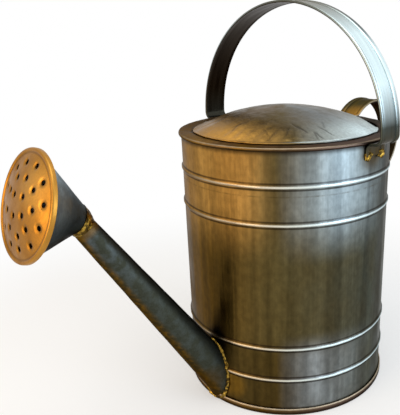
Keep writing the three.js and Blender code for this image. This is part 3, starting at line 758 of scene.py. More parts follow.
def rose_brass(tree, colours):
    """Sheet brass, spun to a shallow dome, punched and left to age under old lacquer.
    The eye sees satin orange gold with a painted highlight high on one side and on the rolled rim, and
    painted shade in the crease and round the holes."""
    where = add(tree, "ShaderNodeTexCoord").outputs["Object"]
    _, radius, hole, shine = piece_places(tree)
    c = colours
    cloud = grained(tree, where, (1, 1, 1), 12, 3.0, (0.35, 0.68))
    speck = grained(tree, where, (1, 1, 1), 1.6, 3.0, (0.35, 0.7))
    crease = near(tree, radius, (FACE_DOME_RADIUS + 0.7) * MM, 0.2 * MM, 1.2 * MM)
    rolled = near(tree, radius, (FACE_RIM_RADIUS - 0.2) * MM, 0.1 * MM, 0.9 * MM)
    ring = near(tree, hole, ROSE_HOLE_RADIUS * MM, 0.1 * MM, 1.2 * MM)
    tone = layered(tree, (*c.brass, 1), [
        ((cloud, 0.6), c.brass_dark_and_shade),
        # Painted highlight high on one side and on the rolled rim, painted shade in the crease and round the
        # holes
        ((shine, 0.6), c.brass_highlight),
        ((speck, 0.2), c.brass_dark_and_shade),
        ((crease, 0.65), c.brass_dark_and_shade),
        ((ring, 0.75), c.brass_dark_and_shade),
        ((rolled, 0.4), c.brass_highlight)])
    metal_surface(tree, tone, cloud, 0.32, 0.46, speck, 0.03, 0.8)


def braze_brass(tree, colours):
    """Brass brazing run in by torch: lumpy yellow metal with a painted highlight on its high spots,
    with brown burnt flux in the hollows."""
    where = add(tree, "ShaderNodeTexCoord").outputs["Object"]
    c = colours
    lumps = grained(tree, where, (1, 1, 1), 3.4, 2.0, (0.42, 0.66))
    burnt = grained(tree, where, (1, 1, 1), 9, 2.0, (0.42, 0.6))
    speck = grained(tree, where, (1, 1, 1), 1.1, 2.0, (0.4, 0.7))
    tone = layered(tree, (*c.shade, 1), [
        ((lumps, 0.9), c.braze),
        # Painted highlight on the high spots
        ((speck, lumps, 0.5), c.brass_highlight),
        ((burnt, 0.6), c.umber)])
    metal_surface(tree, tone, speck, 0.26, 0.46, lumps, 0.35, 0.6)


# Pieces of the can

def make_wall(sizes, colours):
    """The rolled and swaged wall, with a lap seam down its back and the bore of the spout cut through it."""
    proud, half_width = sizes.bead_proud / MM, sizes.bead_half_width / MM
    heights = [WALL_BOTTOM]
    for bead in BEAD_HEIGHTS:
        heights += [bead + half_width * (step / 6) for step in range(-7, 8)]
    heights += [WALL_TOP]
    steps = 25
    plain = [WALL_BOTTOM + (WALL_TOP - WALL_BOTTOM) * i / steps for i in range(1, steps)]
    heights += [z for z in plain if all(abs(z - bead) > half_width + 2 for bead in BEAD_HEIGHTS)]
    heights.sort()
    outline = [(wall_radius(z, proud, half_width), z) for z in heights]
    outline += [(wall_radius(z, proud, half_width) - SHEET, z) for z in reversed(heights)]

    chooser = random.Random(SEED)
    knots = [0]
    while knots[-1] < 345:
        knots.append(knots[-1] + chooser.uniform(5, 13))
    knots.append(360)
    depth = sizes.wall_flats / MM
    seam = math.degrees(sizes.seam_width / MM / 2 / WALL_TOP_RADIUS)
    step_up = sizes.seam_proud / MM

    def reshape(turn, radius, height):
        degrees = math.degrees(turn) % 360
        left = max(k for k in knots if k <= degrees)
        right = min(k for k in knots if k > degrees)
        sag = 4 * (degrees - left) * (right - degrees) / (right - left) ** 2
        radius -= depth * sag * smooth(WALL_TOP - height, 0, 12)
        height -= rim_drop(wrap_degrees(degrees), 90, sizes) * smooth(height, 243, 251)
        if abs(degrees - 180) < seam and radius > wall_radius(height, proud, half_width) - depth - 0.2:
            radius += step_up if 8 < height < PLATE_TOP - 4 else 0
        return radius, height

    material = finish("antiqued_rolled_zinc_sheet", wall_zinc, colours)
    surface = turned(outline, 320, reshape)
    wall = add_piece("wall_of_rolled_sheet", surface, material, "body_wall")
    rings = [[hoop_point(spout_centre(along), SPOUT_ANGLE, spout_radius(along) - SHEET, 2 * math.pi * k / 48)
              for k in range(48)] for along in (-28, 40)]
    cut_away(wall, skin(rings, caps=True))


def make_base(sizes, colours):
    """The base pan, hung inside the wall, with its edge rolled up round the foot."""
    inside = WALL_BOTTOM_RADIUS - SHEET - SEAT_GAP
    outside = wall_radius(PAN_ROLL_HEIGHT, 0, 1) + SEAT_GAP
    middle = (outside + PAN_ROLL_RADIUS) / 2
    half = (PAN_ROLL_RADIUS - outside) / 2
    roll = circle_points((middle, PAN_ROLL_HEIGHT - half), half, range(180, -1, -20))
    outline = [(0, PAN_FLOOR + SHEET), (60, PAN_FLOOR + SHEET), (inside, PAN_FLOOR + SHEET), (inside, SHEET),
               (outside, SHEET), *roll, (PAN_ROLL_RADIUS, 1.2), (PAN_ROLL_RADIUS - 0.4, 0.4),
               (outside + 0.4, 0), (inside - SHEET + 0.4, 0), (inside - SHEET, 0.4),
               (inside - SHEET, PAN_FLOOR), (60, PAN_FLOOR),
               (0, PAN_FLOOR)]
    material = finish("rolled_edge_zinc", rim_zinc, colours)
    add_piece("base_pan_of_zinc", turned(outline, 256), material, "base_pan")


def make_top_plate(sizes, colours):
    """The flat rim with its edge rolled down over the wall; the filling mouth is cut behind the hood."""
    under = PLATE_TOP - SHEET
    hem = PLATE_RADIUS - SHEET - SEAT_GAP
    roll = PLATE_ROLL_ROUND
    centre = (PLATE_RADIUS - roll, PLATE_TOP - roll)
    edge = circle_points(centre, roll, range(90, -76, -15))
    outline = [(PLATE_INNER_RADIUS, under), (PLATE_INNER_RADIUS, PLATE_TOP), (86, PLATE_TOP), (91, PLATE_TOP),
               (96, PLATE_TOP), *edge, (hem, centre[1] - roll + 0.5), (hem, under)]

    def reshape(turn, radius, height):
        point = (radius * math.cos(turn), radius * math.sin(turn), 0)
        edge_wave = 0.3 * rough(point, 26, 3) * smooth(radius, 95, 101)
        height += 0.25 * rough(point, 16, 4) * smooth(radius, 88, 99)
        return radius + edge_wave, height - rim_drop(wrap_degrees(math.degrees(turn)), radius, sizes)

    material = finish("rolled_edge_zinc", rim_zinc, colours)
    plate = add_piece("rim_plate_of_zinc", turned(outline, 320, reshape), material, "top_plate")
    across = math.sqrt(MOUTH_RADIUS ** 2 - MOUTH_START ** 2)
    start_angle = math.atan2(across, MOUTH_START)
    bore = [(MOUTH_RADIUS * math.cos(t), MOUTH_RADIUS * math.sin(t))
            for t in (start_angle * (2 * k / 60 - 1) for k in range(61))]
    rings = [[(x, y, z) for x, y in bore] for z in (under - 4, PLATE_TOP + 4)]
    cut_away(plate, skin(rings, caps=True))


def dome_point(share, edge_radius, edge_height, rise):
    """Point of a shallow dome at a share of the way from its edge to its crown."""
    sphere = (edge_radius ** 2 + rise ** 2) / (2 * rise)
    angle = math.asin(edge_radius / sphere) * (1 - share)
    return sphere * math.sin(angle), edge_height + rise - sphere * (1 - math.cos(angle))


# Creases of the hood: how many, the side they gather on and how far they spread, in degrees, and their radii
CREASE_COUNT = 11
CREASE_SIDE = -42
CREASE_SPREAD = 40
CREASE_LEAN = 9
CREASE_REACH = (54, 84)
CREASE_SEED = 7

# Puckers where the foot of the hood was shrunk: how many would go all round, and their depth
PUCKERS_ROUND = 44
PUCKER_DEPTH = 0.35


def hood_crease_lines():
    """Short creases left by knocks: angle from the spout, lean, inner and outer radius, and depth share."""
    dice = random.Random(CREASE_SEED)
    lines = []
    for _ in range(CREASE_COUNT):
        angle = CREASE_SIDE + dice.uniform(-CREASE_SPREAD, CREASE_SPREAD)
        inner = dice.uniform(CREASE_REACH[0], CREASE_REACH[1] - 6)
        outer = min(inner + dice.uniform(6, 22), CREASE_REACH[1])
        lines.append((angle, dice.uniform(-CREASE_LEAN, CREASE_LEAN), inner, outer, dice.uniform(0.4, 1)))
    return lines


CREASES = hood_crease_lines()


def crease_depth(degrees, radius):
    """How deep a crease is here, from 0 to 1."""
    deepest = 0
    for angle, lean, inner, outer, share in CREASES:
        if not inner - 2 < radius < outer + 2:
            continue
        along = (radius - inner) / (outer - inner)
        wander = 0.9 * noise.noise(Vector((angle, along * 2.4, 0)))
        away = abs(wrap_degrees(degrees - angle - lean * (along - 0.5)) * math.radians(1) * radius + wander)
        ends = smooth(along, -0.05, 0.45) * (1 - smooth(along, 0.8, 1.1))
        deepest = max(deepest, share * (1 - smooth(away, 0.1, 1.5)) * ends)
    return deepest


def make_hood(sizes, colours):
    """The hammered half hood over the front of the can, open at the back."""
    seat = PLATE_TOP + SEAT_GAP
    dents, creases = sizes.hood_dents / MM, sizes.hood_creases / MM
    rings = 64
    outer = [dome_point(i / rings, HOOD_RADIUS, seat + SHEET, HOOD_RISE) for i in range(rings + 1)]
    inner = [dome_point(i / rings, HOOD_RADIUS - SHEET, seat, HOOD_RISE) for i in range(rings, -1, -1)]
    brim = HOOD_RADIUS + HOOD_BRIM
    outline = [(HOOD_RADIUS - SHEET, seat), (brim - 0.3, seat), (brim, seat + 0.3), (brim, seat + 0.7),
               (brim - 0.3, seat + SHEET), (HOOD_RADIUS + 1.2, seat + SHEET), *outer, *inner[:-1]]

    def reshape(turn, radius, height):
        degrees = wrap_degrees(math.degrees(turn))
        point = (radius * math.cos(turn), radius * math.sin(turn), 0)
        ease = smooth(HOOD_RADIUS - radius, 0, 10)
        height += dents * ease * (rough(point, 26, 1) + 0.4 * rough(point, 11, 2))
        pucker = smooth(radius, 62, 78) * (1 - smooth(radius, 82, 84.5))
        pucker *= 1 - smooth(abs(degrees - CREASE_SIDE), 32, 48)
        wave = math.sin(math.radians(degrees) * PUCKERS_ROUND + 3 * rough(point, 20, 5))
        height += PUCKER_DEPTH * pucker * wave
        return radius, height - creases * crease_depth(degrees, radius) - rim_drop(degrees, radius, sizes)

    points, faces = turned(outline, 400, reshape)
    place = []
    for x, y, _ in points:
        radius, degrees = math.hypot(x, y), math.degrees(math.atan2(y, -x))
        lip = 1 - smooth(abs(radius - HOOD_RADIUS - 0.4), 0.4, 1.6)
        place.append((crease_depth(degrees, radius), lip, 0))
    material = finish("hammered_zinc_hood", hood_zinc, colours)
    hood = add_piece("hood_of_hammered_zinc", (points, faces), material, "hood", place)
    low, high = (MOUTH_START, -120, seat - 8), (140, 120, seat + 60)
    corners = [[(x, low[1], low[2]), (x, high[1], low[2]), (x, high[1], high[2]), (x, low[1], high[2])]
               for x in (low[0], high[0])]
    cut_away(hood, skin(corners, caps=True))


def strap_section(sizes):
    """Section of a strap as (across, outward), with a rounded hem standing proud at each edge."""
    face = STRAP_SHEET / 2
    crest = face + sizes.hem_proud / MM
    sides = []
    for width in (sizes.wide_hem / MM, sizes.narrow_hem / MM):
        edge, half = STRAP_WIDTH / 2, min(width / 2, 1.5)
        hem = circle_points((edge - half, crest - half), half, (-40, -15, 10, 35, 60, 90))
        hem += circle_points((edge - width + half, crest - half), half, (90, 115, 140, 160))
        sides.append([(edge - 1, -face), *hem, (edge - width - 0.3, face)])
    wide = sides[0] + [(x, face) for x in (4, 2, 0)]
    narrow = [(-across, outward) for across, outward in reversed(sides[1])]
    under = [(x, -face) for x in (-8, -4, 0, 4, 8)]
    return wide + [(x, face) for x in (-3, -6)] + narrow + under


def add_strap(name, outline, put, material, node, sizes):
    """Bend the strap along an outline of (reach, height) points; put gives each point its place in space."""
    section = strap_section(sizes)
    rows, place, travelled = [], [], 0
    for i, point in enumerate(outline):
        before, after = outline[max(i - 1, 0)], outline[min(i + 1, len(outline) - 1)]
        along = (after - before).normalized()
        outward = Vector((-along.y, along.x))
        travelled += (point - outline[i - 1]).length if i else 0
        rows.append([put(point + outward * out, across) for across, out in section])
        place += [(travelled * MM, across * MM, out * MM) for across, out in section]
    return add_piece(name, skin(rows, caps=True), material, node, place, 50)


def arc(centre, radius, first, last, steps):
    """Points of an arc between two angles in radians."""
    angles = [first + (last - first) * i / steps for i in range(steps + 1)]
    return [Vector((centre[0] + radius * math.cos(t), centre[1] + radius * math.sin(t))) for t in angles]


def make_carrying_handle(sizes, colours):
    """The hemmed strap arched over the can, its feet jogged in under the rim and brazed to the wall."""
    foot = WALL_TOP_RADIUS + SEAT_GAP + STRAP_SHEET / 2
    shift, rise = ARCH_HALF_SPAN - foot, ARCH_SPRING - ARCH_FOOT_TOP
    radius = (shift ** 2 + rise ** 2) / (4 * shift)
    turn = math.asin(rise / (2 * radius))
    near_side = [Vector((foot, ARCH_FOOT_BOTTOM)), Vector((foot, (ARCH_FOOT_BOTTOM + ARCH_FOOT_TOP) / 2))]
    near_side += arc((foot + radius, ARCH_FOOT_TOP), radius, math.pi, math.pi - turn, 8)
    near_side += arc((ARCH_HALF_SPAN - radius, ARCH_SPRING), radius, -turn, 0, 8)[1:]
    for step in range(1, 61):
        angle = math.pi / 2 * step / 60
        near_side.append(Vector((ARCH_HALF_SPAN * math.cos(angle),
                                 ARCH_SPRING + (ARCH_APEX - ARCH_SPRING) * math.sin(angle))))
    far_side = [Vector((-point.x, point.y)) for point in reversed(near_side[:-1])]
    outline = list(reversed(near_side + far_side))

    def put(point, across):
        return ARCH_SET_BACK + across, point.x, point.y

    material = finish("hemmed_zinc_strap", strap_zinc, colours)
    add_strap("carrying_handle_strap", outline, put, material, "main_handle", sizes)


def make_back_handle(sizes, colours):
    """The hemmed strap looped from the rim down to the wall behind."""
    half = STRAP_SHEET / 2 + SEAT_GAP
    tab = PLATE_TOP + half
    foot = wall_radius(LOOP_FOOT_TOP, sizes.bead_proud / MM, sizes.bead_half_width / MM) + half
    first, last = (math.radians(angle) for angle in LOOP_ANGLES)
    leave = Vector(LOOP_CENTRE) + LOOP_RADIUS * Vector((math.cos(last), math.sin(last)))
    slope = math.tan(math.pi / 2 + last)
    bend = Vector((foot + 4, leave.y - (leave.x - foot - 4) * slope))
    control = Vector((foot, bend.y - 4 * slope))
    end = Vector((foot, LOOP_FOOT_TOP - 4))
    outline = [Vector((LOOP_TAB_START + along, tab)) for along in (0, 3, 6)]
    outline += arc(LOOP_CENTRE, LOOP_RADIUS, first, last, 48)
    outline += [leave.lerp(bend, t / 5) for t in range(1, 5)]
    for step in range(9):
        t = step / 8
        outline.append((1 - t) ** 2 * bend + 2 * t * (1 - t) * control + t * t * end)
    outline.append(Vector((foot, LOOP_FOOT_BOTTOM)))

    def put(point, across):
        return point.x, across, point.y

    material = finish("hemmed_zinc_back_strap", back_strap_zinc, colours)
    add_strap("back_handle_strap", outline, put, material, "back_handle", sizes)


def make_spout(sizes, colours):
    """The tapered spout tube, starting where it meets the wall."""
    around = 72
    angles = [2 * math.pi * k / around for k in range(around)]
    starts = [leaves_wall(angle, sizes) - 1.2 for angle in angles]
    rows, place = [], []
    for inner in (0, SHEET):
        steps = range(61) if inner == 0 else range(60, -1, -1)
        for step in steps:
            row = []
            for angle, begin in zip(angles, starts):
                along = begin + (SPOUT_LENGTH - begin) * step / 60
                radius = spout_radius(along) - inner
                point = hoop_point(spout_centre(along), SPOUT_ANGLE, radius, angle)
                dent = 0.18 * rough(point, 16, 8) * smooth(along, 20, 45) * (1 - smooth(along, 190, 208))
                point = hoop_point(spout_centre(along), SPOUT_ANGLE, radius + dent, angle)
                row.append((point.x, point.y, max(point.z, SEAT_GAP)))
                place.append((along * MM, math.cos(angle), math.sin(angle)))
            rows.append(row)
    material = finish("fire_darkened_zinc_tube", spout_zinc, colours)
    add_piece("spout_tube", skin(rows, ring=True), material, "spout", place)


def make_spout_braze(sizes, colours):
    """The lumpy bead of braze run round the joint of spout and wall."""
    around, sides = 160, 14
    rows = []
    axis = Vector((-math.cos(SPOUT_ANGLE), 0, math.sin(SPOUT_ANGLE)))
    for k in range(around):
        angle = 2 * math.pi * k / around
        along = leaves_wall(angle, sizes)
        centre = hoop_point(spout_centre(along), SPOUT_ANGLE, spout_radius(along), angle)
        outward = (centre - hoop_point(spout_centre(along), SPOUT_ANGLE, 0, angle)).normalized()
        bead = sizes.braze_radius / MM * (0.86 + 0.3 * rough(centre, 7, 9) + 0.2 * rough(centre, 2.6, 10))
        row = []
        for i in range(sides):
            turn = 2 * math.pi * i / sides
            point = centre + outward * bead * math.cos(turn) + axis * bead * math.sin(turn)
            point += 0.22 * rough(point, 1.8, 11) * (point - centre).normalized()
            row.append((point.x, point.y, max(point.z, SEAT_GAP)))
        rows.append(row)
    material = finish("torch_run_braze", braze_brass, colours)
    add_piece("spout_braze_bead", skin(rows, ring=True), material, "spout_braze")


def make_neck_collar(sizes, colours):
    """The lumpy collar of braze that joins the spout to the leaning neck of the rose."""
    spout_end = SPOUT_LENGTH + SEAT_GAP
    back = (NECK_REACH - SEAT_GAP * math.cos(NECK_TILT), NECK_HEIGHT - SEAT_GAP * math.sin(NECK_TILT))
    end = spout_centre(spout_end)
    middle = ((back[0] + end[0]) / 2, (back[1] + end[1]) / 2)
    tilt = (SPOUT_ANGLE + NECK_TILT) / 2
    end_radius = spout_radius(SPOUT_LENGTH)
    waist = (NECK_RADIUS + end_radius) / 2
    hoops = [(end, SPOUT_ANGLE, end_radius - 0.1, 0.1), (end, SPOUT_ANGLE, end_radius + 0.4, 0.3),
             (middle, tilt, waist + 0.7, 0.8), (back, NECK_TILT, NECK_RADIUS + 0.4, 0.3),
             (back, NECK_TILT, NECK_RADIUS - 0.1, 0.1), (back, NECK_TILT, NECK_RADIUS - SHEET, 0),
             (middle, tilt, waist - SHEET, 0), (end, SPOUT_ANGLE, end_radius - SHEET, 0)]
    rows = []
    fine = 5
    for i, (centre, lean, radius, lumps) in enumerate(hoops):
        after = hoops[(i + 1) % len(hoops)]
        for step in range(fine if i < 4 else 1):
            t = step / fine
            row = []
            for k in range(96):
                angle = 2 * math.pi * k / 96
                point = hoop_point(centre, lean, radius, angle).lerp(
                    hoop_point(after[0], after[1], after[2], angle), t)
                outward = (point - hoop_point(centre, lean, 0, angle)).normalized()
                height = 0.75 * rough(point, 4.2, 12) + 0.35 * rough(point, 1.8, 13)
                row.append(point + outward * height * (lumps + (after[3] - lumps) * t))
            rows.append(row)
    material = finish("torch_run_braze", braze_brass, colours)
    add_piece("neck_braze_collar", skin(rows, ring=True), material, "neck_collar", sharp=60)


def make_rose_cone(sizes, colours):
    """The leaning cone between neck and face."""
    mouth = (FACE_REACH - CONE_SET_BACK * math.cos(FACE_TILT),
             FACE_HEIGHT - CONE_SET_BACK * math.sin(FACE_TILT))
    neck = (NECK_REACH, NECK_HEIGHT)
    around = 128
    rows, place = [], []
    for inner in (0, SHEET):
        for step in (range(25) if inner == 0 else range(24, -1, -1)):
            t = step / 24
            row = []
            for k in range(around):
                angle = 2 * math.pi * k / around
                point = hoop_point(neck, NECK_TILT, NECK_RADIUS - inner, angle).lerp(
                    hoop_point(mouth, FACE_TILT, CONE_MOUTH_RADIUS - inner, angle), t)
                wave = 0.25 * rough(point, 14, 14) * smooth(t, 0, 0.2) * (1 - smooth(t, 0.8, 1))
                row.append(point + wave * Vector((0, math.cos(angle), math.sin(angle))))
                place.append((t, math.cos(angle), math.sin(angle)))
            rows.append(row)
    material = finish("fire_darkened_zinc_cone", cone_zinc, colours)
    add_piece("rose_cone_of_zinc", skin(rows, ring=True), material, "rose_cone", place)


def rose_holes():
    """Centres of the hand-punched holes as (up, across) in the face, each straying a little from its ring."""
    dice = random.Random(HOLE_SEED)
    centres = []
    for radius, count, first in ROSE_RINGS:
        for k in range(count):
            angle = math.radians(first) + 2 * math.pi * k / count
            up = -radius * math.sin(angle) + dice.uniform(-HOLE_STRAY, HOLE_STRAY)
            across = radius * math.cos(angle) + dice.uniform(-HOLE_STRAY, HOLE_STRAY)
            centres.append((up, across))
    return centres


def on_face(up, across, out):
    """A place in space from distances up, across and out of the plane of the rose's face."""
    lean = FACE_TILT
    return (-FACE_REACH + up * math.sin(lean) - out * math.cos(lean), across,
            FACE_HEIGHT + up * math.cos(lean) + out * math.sin(lean))


def make_rose_face(sizes, colours):
    """The spun brass face: a shallow dome with dimpled, punched holes and a rim rolled back over the cone."""
    rim, dome, rise = FACE_RIM_RADIUS, FACE_DOME_RADIUS, FACE_DOME_RISE
    shares = 58
    front = [dome_point(i / shares, dome, 0.4, rise) for i in range(shares, -1, -1)]
    front += [(dome + 0.4, 0.2), (dome + 0.8, 0.15), (dome + 1.2, 0.4), (dome + 1.7, 0.8), (dome + 2.3, 0.95),
              (dome + 3.0, 0.9), (rim - 0.6, 0.65), (rim - 0.2, 0.2), (rim, -0.4), (rim, -1.6), (rim, -2.7),
              (rim - 0.3, -3.0), (rim - 0.6, -3.0)]
    under = -0.3
    back = [(rim - FACE_SHEET, -2.7), (rim - FACE_SHEET, under), (dome, under)]
    back += [dome_point(i / 30, dome - FACE_SHEET, under, rise) for i in range(31)]
    holes = rose_holes()
    around = 256
    depth = sizes.dimple_depth / MM
    rows, place = [], []
    for i in range(around):
        turn = 2 * math.pi * i / around
        row = []
        for radius, out in front + back:
            up, across = radius * math.sin(turn), radius * math.cos(turn)
            away = min(math.hypot(up - u, across - v) for u, v in holes)
            if radius < dome:
                out -= depth * (1 - smooth(away, ROSE_HOLE_RADIUS * 0.6, ROSE_HOLE_RADIUS * 2.1))
                out += 0.25 * rough((up, across, 0), 15, 15) * (1 - smooth(radius, dome - 8, dome))
            wave = 1 + 0.002 * rough((up, across, 0), 20, 16)
            row.append(on_face(up * wave, across * wave, out))
            # shine places the painted highlight high on one side of the face
            shine = 1 - smooth(math.hypot(up - 17, across + 17), 4, 24)
            place.append((radius * MM, away * MM, shine))
        rows.append(row)
    material = finish("aged_spun_brass", rose_brass, colours)
    surface = skin(rows, ring=True)
    face = add_piece("rose_face_of_brass", surface, material, "rose_face", place, 42)
    points, faces = [], []
    for up, across in holes:
        rings = [[on_face(up + ROSE_HOLE_RADIUS * math.sin(t), across + ROSE_HOLE_RADIUS * math.cos(t), out)
                  for t in (2 * math.pi * k / 20 for k in range(20))] for out in (-5, 12)]
        punch_points, punch_faces = skin(rings, caps=True)
        faces += [tuple(corner + len(points) for corner in corners) for corners in punch_faces]
        points += punch_points
    cut_away(face, (points, faces), 42)


def make_lump(name, centre, tangent, node, colours, seed):
    """A torch-run lump of braze on the wall beside the corner of a strap's foot."""
    tangent = Vector(tangent)
    outward = Vector((centre[0], centre[1], 0)).normalized()
    rows = []
    for i in range(1, 24):
        polar = math.pi * i / 24
        row = []
        for k in range(40):
            angle = 2 * math.pi * k / 40
            level = math.sin(polar)
            unit = Vector((level * math.cos(angle), level * math.sin(angle), math.cos(polar)))
            swell = 1 + 0.4 * rough(unit * 10, 7, seed) + 0.25 * rough(unit * 10, 3, seed + 1)
            point = Vector(centre) + swell * (tangent * 4.2 * unit.x + outward * 2.1 * unit.y
                                              + Vector((0, 0, 4.4 * unit.z)))
            row.append(point)
        rows.append(row)
    material = finish("torch_run_braze", braze_brass, colours)
    add_piece(name, skin(rows, caps=True), material, node, sharp=70)


def make_foot_brazes(sizes, colours):
    """Lumps of braze at the lower corners of the three feet on the wall."""
    across = STRAP_WIDTH / 2 - BRAZE_INSET
    for side, sign in (("left", 1), ("right", -1)):
        for end, way in (("front", -1), ("rear", 1)):
            reach = wall_radius(ARCH_FOOT_BOTTOM, 0, 1) + BRAZE_SEAT
            centre = (ARCH_SET_BACK + way * across, sign * reach, ARCH_FOOT_BOTTOM + 0.5)
            make_lump(f"handle_braze_lump_{side}_{end}", centre, (1, 0, 0),
                      f"handle_braze_{side}_{end}", colours, 20 + sign * 3 + way)
        reach = wall_radius(LOOP_FOOT_BOTTOM, 0, 1) + BRAZE_SEAT
        make_lump(f"back_handle_braze_lump_{side}", (reach, sign * across, LOOP_FOOT_BOTTOM + 0.5), (0, 1, 0),
                  f"back_handle_braze_{side}", colours, 30 + sign)


# Studio

def floor_paint(tree, colours):
    """Matt pale paint. To the camera and in reflections it turns to plain white with distance.
    Near the can it keeps the shadow."""
    path = add(tree, "ShaderNodeLightPath").outputs
    seen = add(tree, "ShaderNodeMath", {0: path["Is Camera Ray"], 1: path["Is Glossy Ray"]},
               operation="MAXIMUM").outputs[0]
    where = add(tree, "ShaderNodeTexCoord").outputs["Object"]
    away = add(tree, "ShaderNodeVectorMath", {0: where}, operation="LENGTH").outputs["Value"]
    far = add(tree, "ShaderNodeMapRange", {"Value": away, "From Min": 0.3, "From Max": 0.6, "To Min": 0.4,
                                           "To Max": 1.0}, interpolation_type="SMOOTHSTEP").outputs[0]
    paint = add(tree, "ShaderNodeBsdfPrincipled", {"Base Color": (*colours.floor, 1), "Roughness": 0.9})
    white = add(tree, "ShaderNodeEmission", {"Color": (1, 1, 1, 1), "Strength": 1.0})
    share = add(tree, "ShaderNodeMath", {0: far, 1: seen}, operation="MULTIPLY").outputs[0]
    surface = add(tree, "ShaderNodeMixShader", {0: share, 1: paint.outputs[0], 2: white.outputs[0]})
    add(tree, "ShaderNodeOutputMaterial", {"Surface": surface.outputs[0]})


def make_stage(stage, colours):
    """Pale floor, even surround, two soft side lamps and one overhead, and the photograph's camera."""
    scene = bpy.context.scene
    scene.view_settings.view_transform = "Standard"

    world = bpy.data.worlds.new("studio_surround")
    scene.world = world
    world.use_nodes = True
    tree = world.node_tree
    tree.nodes.clear()
    path = add(tree, "ShaderNodeLightPath").outputs
    seen = add(tree, "ShaderNodeMath", {0: path["Is Camera Ray"], 1: path["Is Glossy Ray"]},
               operation="MAXIMUM").outputs[0]
    seen = add(tree, "ShaderNodeMath", {0: seen, 1: path["Is Transmission Ray"]},
               operation="MAXIMUM").outputs[0]
    strength = between(tree, seen, stage.surround, 1.0)
    light = add(tree, "ShaderNodeBackground", {"Color": (1, 1, 1, 1), "Strength": strength})
    add(tree, "ShaderNodeOutputWorld", {"Surface": light.outputs[0]})

    material = finish("pale_studio_floor", floor_paint, colours)
    mesh = bpy.data.meshes.new("studio_floor")
    half = 6
    corners = [(-half, -half, 0), (half, -half, 0), (half, half, 0), (-half, half, 0)]
    mesh.from_pydata(corners, [], [(0, 1, 2, 3)])
    mesh.materials.append(material)
    floor = bpy.data.objects.new("studio_floor", mesh)
    scene.collection.objects.link(floor)

    aim = Vector((AXIS_X * MM * 0.4, 0, 0.15))
    lamps = (("warm_softbox", stage.warm_lamp, (-1.15, 0.12, 0.42), 0.8, linear("ffdcae")),
             ("cool_softbox", stage.cool_lamp, (0.35, -1.35, 0.5), 0.8, linear("dcedff")),
             ("top_softbox", stage.top_lamp, (-0.1, -0.25, 1.6), 1.2, linear("ffffff")))
    for name, power, place, width, colour in lamps:
        data = bpy.data.lights.new(name, "AREA")
        data.shape = "SQUARE"
        data.size = width
        data.energy = power
        data.color = colour
        lamp = bpy.data.objects.new(name, data)
        lamp.location = place
        lamp.rotation_mode = "QUATERNION"
        lamp.rotation_quaternion = (aim - Vector(place)).to_track_quat("-Z", "Y")
        lamp.visible_camera = False
        scene.collection.objects.link(lamp)

    forward = Vector(CAMERA_FORWARD).normalized()
    level = forward.cross(Vector((0, 0, 1))).normalized()
    upright = level.cross(forward)
    right = level * math.cos(CAMERA_ROLL) + upright * math.sin(CAMERA_ROLL)
    up = upright * math.cos(CAMERA_ROLL) - level * math.sin(CAMERA_ROLL)
    data = bpy.data.cameras.new("photo_camera")
    data.sensor_width = SENSOR
    data.lens = SENSOR * FOCAL_PIXELS / max(PHOTO_SIZE)
    data.shift_x = (PHOTO_SIZE[0] / 2 - PHOTO_CENTRE_X) / max(PHOTO_SIZE)
    data.clip_start, data.clip_end = 0.02, 20
    camera = bpy.data.objects.new("photo_camera", data)
    turn = Matrix((right, up, -forward)).transposed().to_4x4()
    camera.matrix_world = Matrix.Translation(Vector(CAMERA_PLACE) * MM) @ turn
    scene.collection.objects.link(camera)
    scene.camera = camera


# Operators: one for each piece or group of like pieces, and one for the stage

class CanStep(bpy.types.Operator):
    """Make a piece of the watering can."""

    bl_options = {"REGISTER", "UNDO"}
    make = None

    def execute(self, context):
        scene = context.scene
        type(self).make(scene.can_sizes, scene.can_colours)
        return {"FINISHED"}


class CAN_OT_wall(CanStep):
    """Make the rolled and swaged wall"""

    bl_idname = "can.wall"
    bl_label = "Wall"
    make = make_wall


class CAN_OT_base(CanStep):
    """Make the base pan"""

    bl_idname = "can.base"
    bl_label = "Base pan"
    make = make_base


class CAN_OT_top_plate(CanStep):
    """Make the flat rim and its filling mouth"""

    bl_idname = "can.top_plate"
    bl_label = "Top plate"
    make = make_top_plate


class CAN_OT_hood(CanStep):
    """Make the hammered hood"""

    bl_idname = "can.hood"
    bl_label = "Hood"
    make = make_hood


class CAN_OT_carrying_handle(CanStep):
    """Make the arched carrying handle"""

    bl_idname = "can.carrying_handle"
    bl_label = "Carrying handle"
    make = make_carrying_handle


class CAN_OT_back_handle(CanStep):
    """Make the looped back handle"""

    bl_idname = "can.back_handle"
    bl_label = "Back handle"
    make = make_back_handle


class CAN_OT_spout(CanStep):
    """Make the tapered spout"""

    bl_idname = "can.spout"
    bl_label = "Spout"
    make = make_spout


class CAN_OT_spout_braze(CanStep):
    """Make the bead of braze round the spout's root"""

    bl_idname = "can.spout_braze"
    bl_label = "Spout braze"
    make = make_spout_braze


class CAN_OT_neck_collar(CanStep):
    """Make the collar of braze at the rose's neck"""

    bl_idname = "can.neck_collar"
    bl_label = "Neck collar"
    make = make_neck_collar


class CAN_OT_rose_cone(CanStep):
    """Make the leaning cone of the rose"""

    bl_idname = "can.rose_cone"
    bl_label = "Rose cone"
    make = make_rose_cone


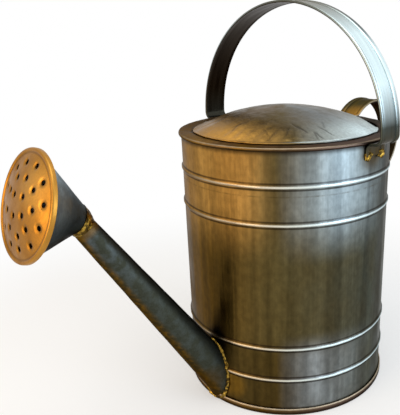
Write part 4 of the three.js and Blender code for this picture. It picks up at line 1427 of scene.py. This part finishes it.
class CAN_OT_rose_face(CanStep):
    """Make the punched brass face of the rose"""

    bl_idname = "can.rose_face"
    bl_label = "Rose face"
    make = make_rose_face


class CAN_OT_foot_brazes(CanStep):
    """Make the lumps of braze at the feet of the handles"""

    bl_idname = "can.foot_brazes"
    bl_label = "Foot brazes"
    make = make_foot_brazes


class CAN_OT_stage(bpy.types.Operator):
    """Make the floor, the lamps and the camera"""

    bl_idname = "can.stage"
    bl_label = "Studio"
    bl_options = {"REGISTER", "UNDO"}

    def execute(self, context):
        make_stage(context.scene.can_stage, context.scene.can_colours)
        return {"FINISHED"}


STEPS = (CAN_OT_wall, CAN_OT_base, CAN_OT_top_plate, CAN_OT_hood, CAN_OT_carrying_handle, CAN_OT_back_handle,
         CAN_OT_spout, CAN_OT_spout_braze, CAN_OT_neck_collar, CAN_OT_rose_cone, CAN_OT_rose_face,
         CAN_OT_foot_brazes, CAN_OT_stage)
GROUPS = (("can_sizes", WateringCanSizes), ("can_colours", WateringCanColours),
          ("can_stage", WateringCanStage))


class CAN_PT_panel(bpy.types.Panel):
    """Sizes, colours and steps of the watering can"""

    bl_label = "Watering Can"
    bl_space_type = "VIEW_3D"
    bl_region_type = "UI"
    bl_category = "Watering Can"

    def draw(self, context):
        for group, kind in GROUPS:
            column = self.layout.column()
            for name in kind.__annotations__:
                column.prop(getattr(context.scene, group), name)
        for step in STEPS:
            self.layout.operator(step.bl_idname)


def register():
    for group, kind in GROUPS:
        bpy.utils.register_class(kind)
        setattr(bpy.types.Scene, group, bpy.props.PointerProperty(type=kind))
    for kind in (*STEPS, CAN_PT_panel):
        bpy.utils.register_class(kind)


def unregister():
    for kind in reversed((*STEPS, CAN_PT_panel)):
        bpy.utils.unregister_class(kind)
    for group, kind in reversed(GROUPS):
        delattr(bpy.types.Scene, group)
        bpy.utils.unregister_class(kind)


def main():
    register()
    for step in STEPS:
        group, name = step.bl_idname.split(".")
        getattr(getattr(bpy.ops, group), name)()


if __name__ == "__main__":
    main()
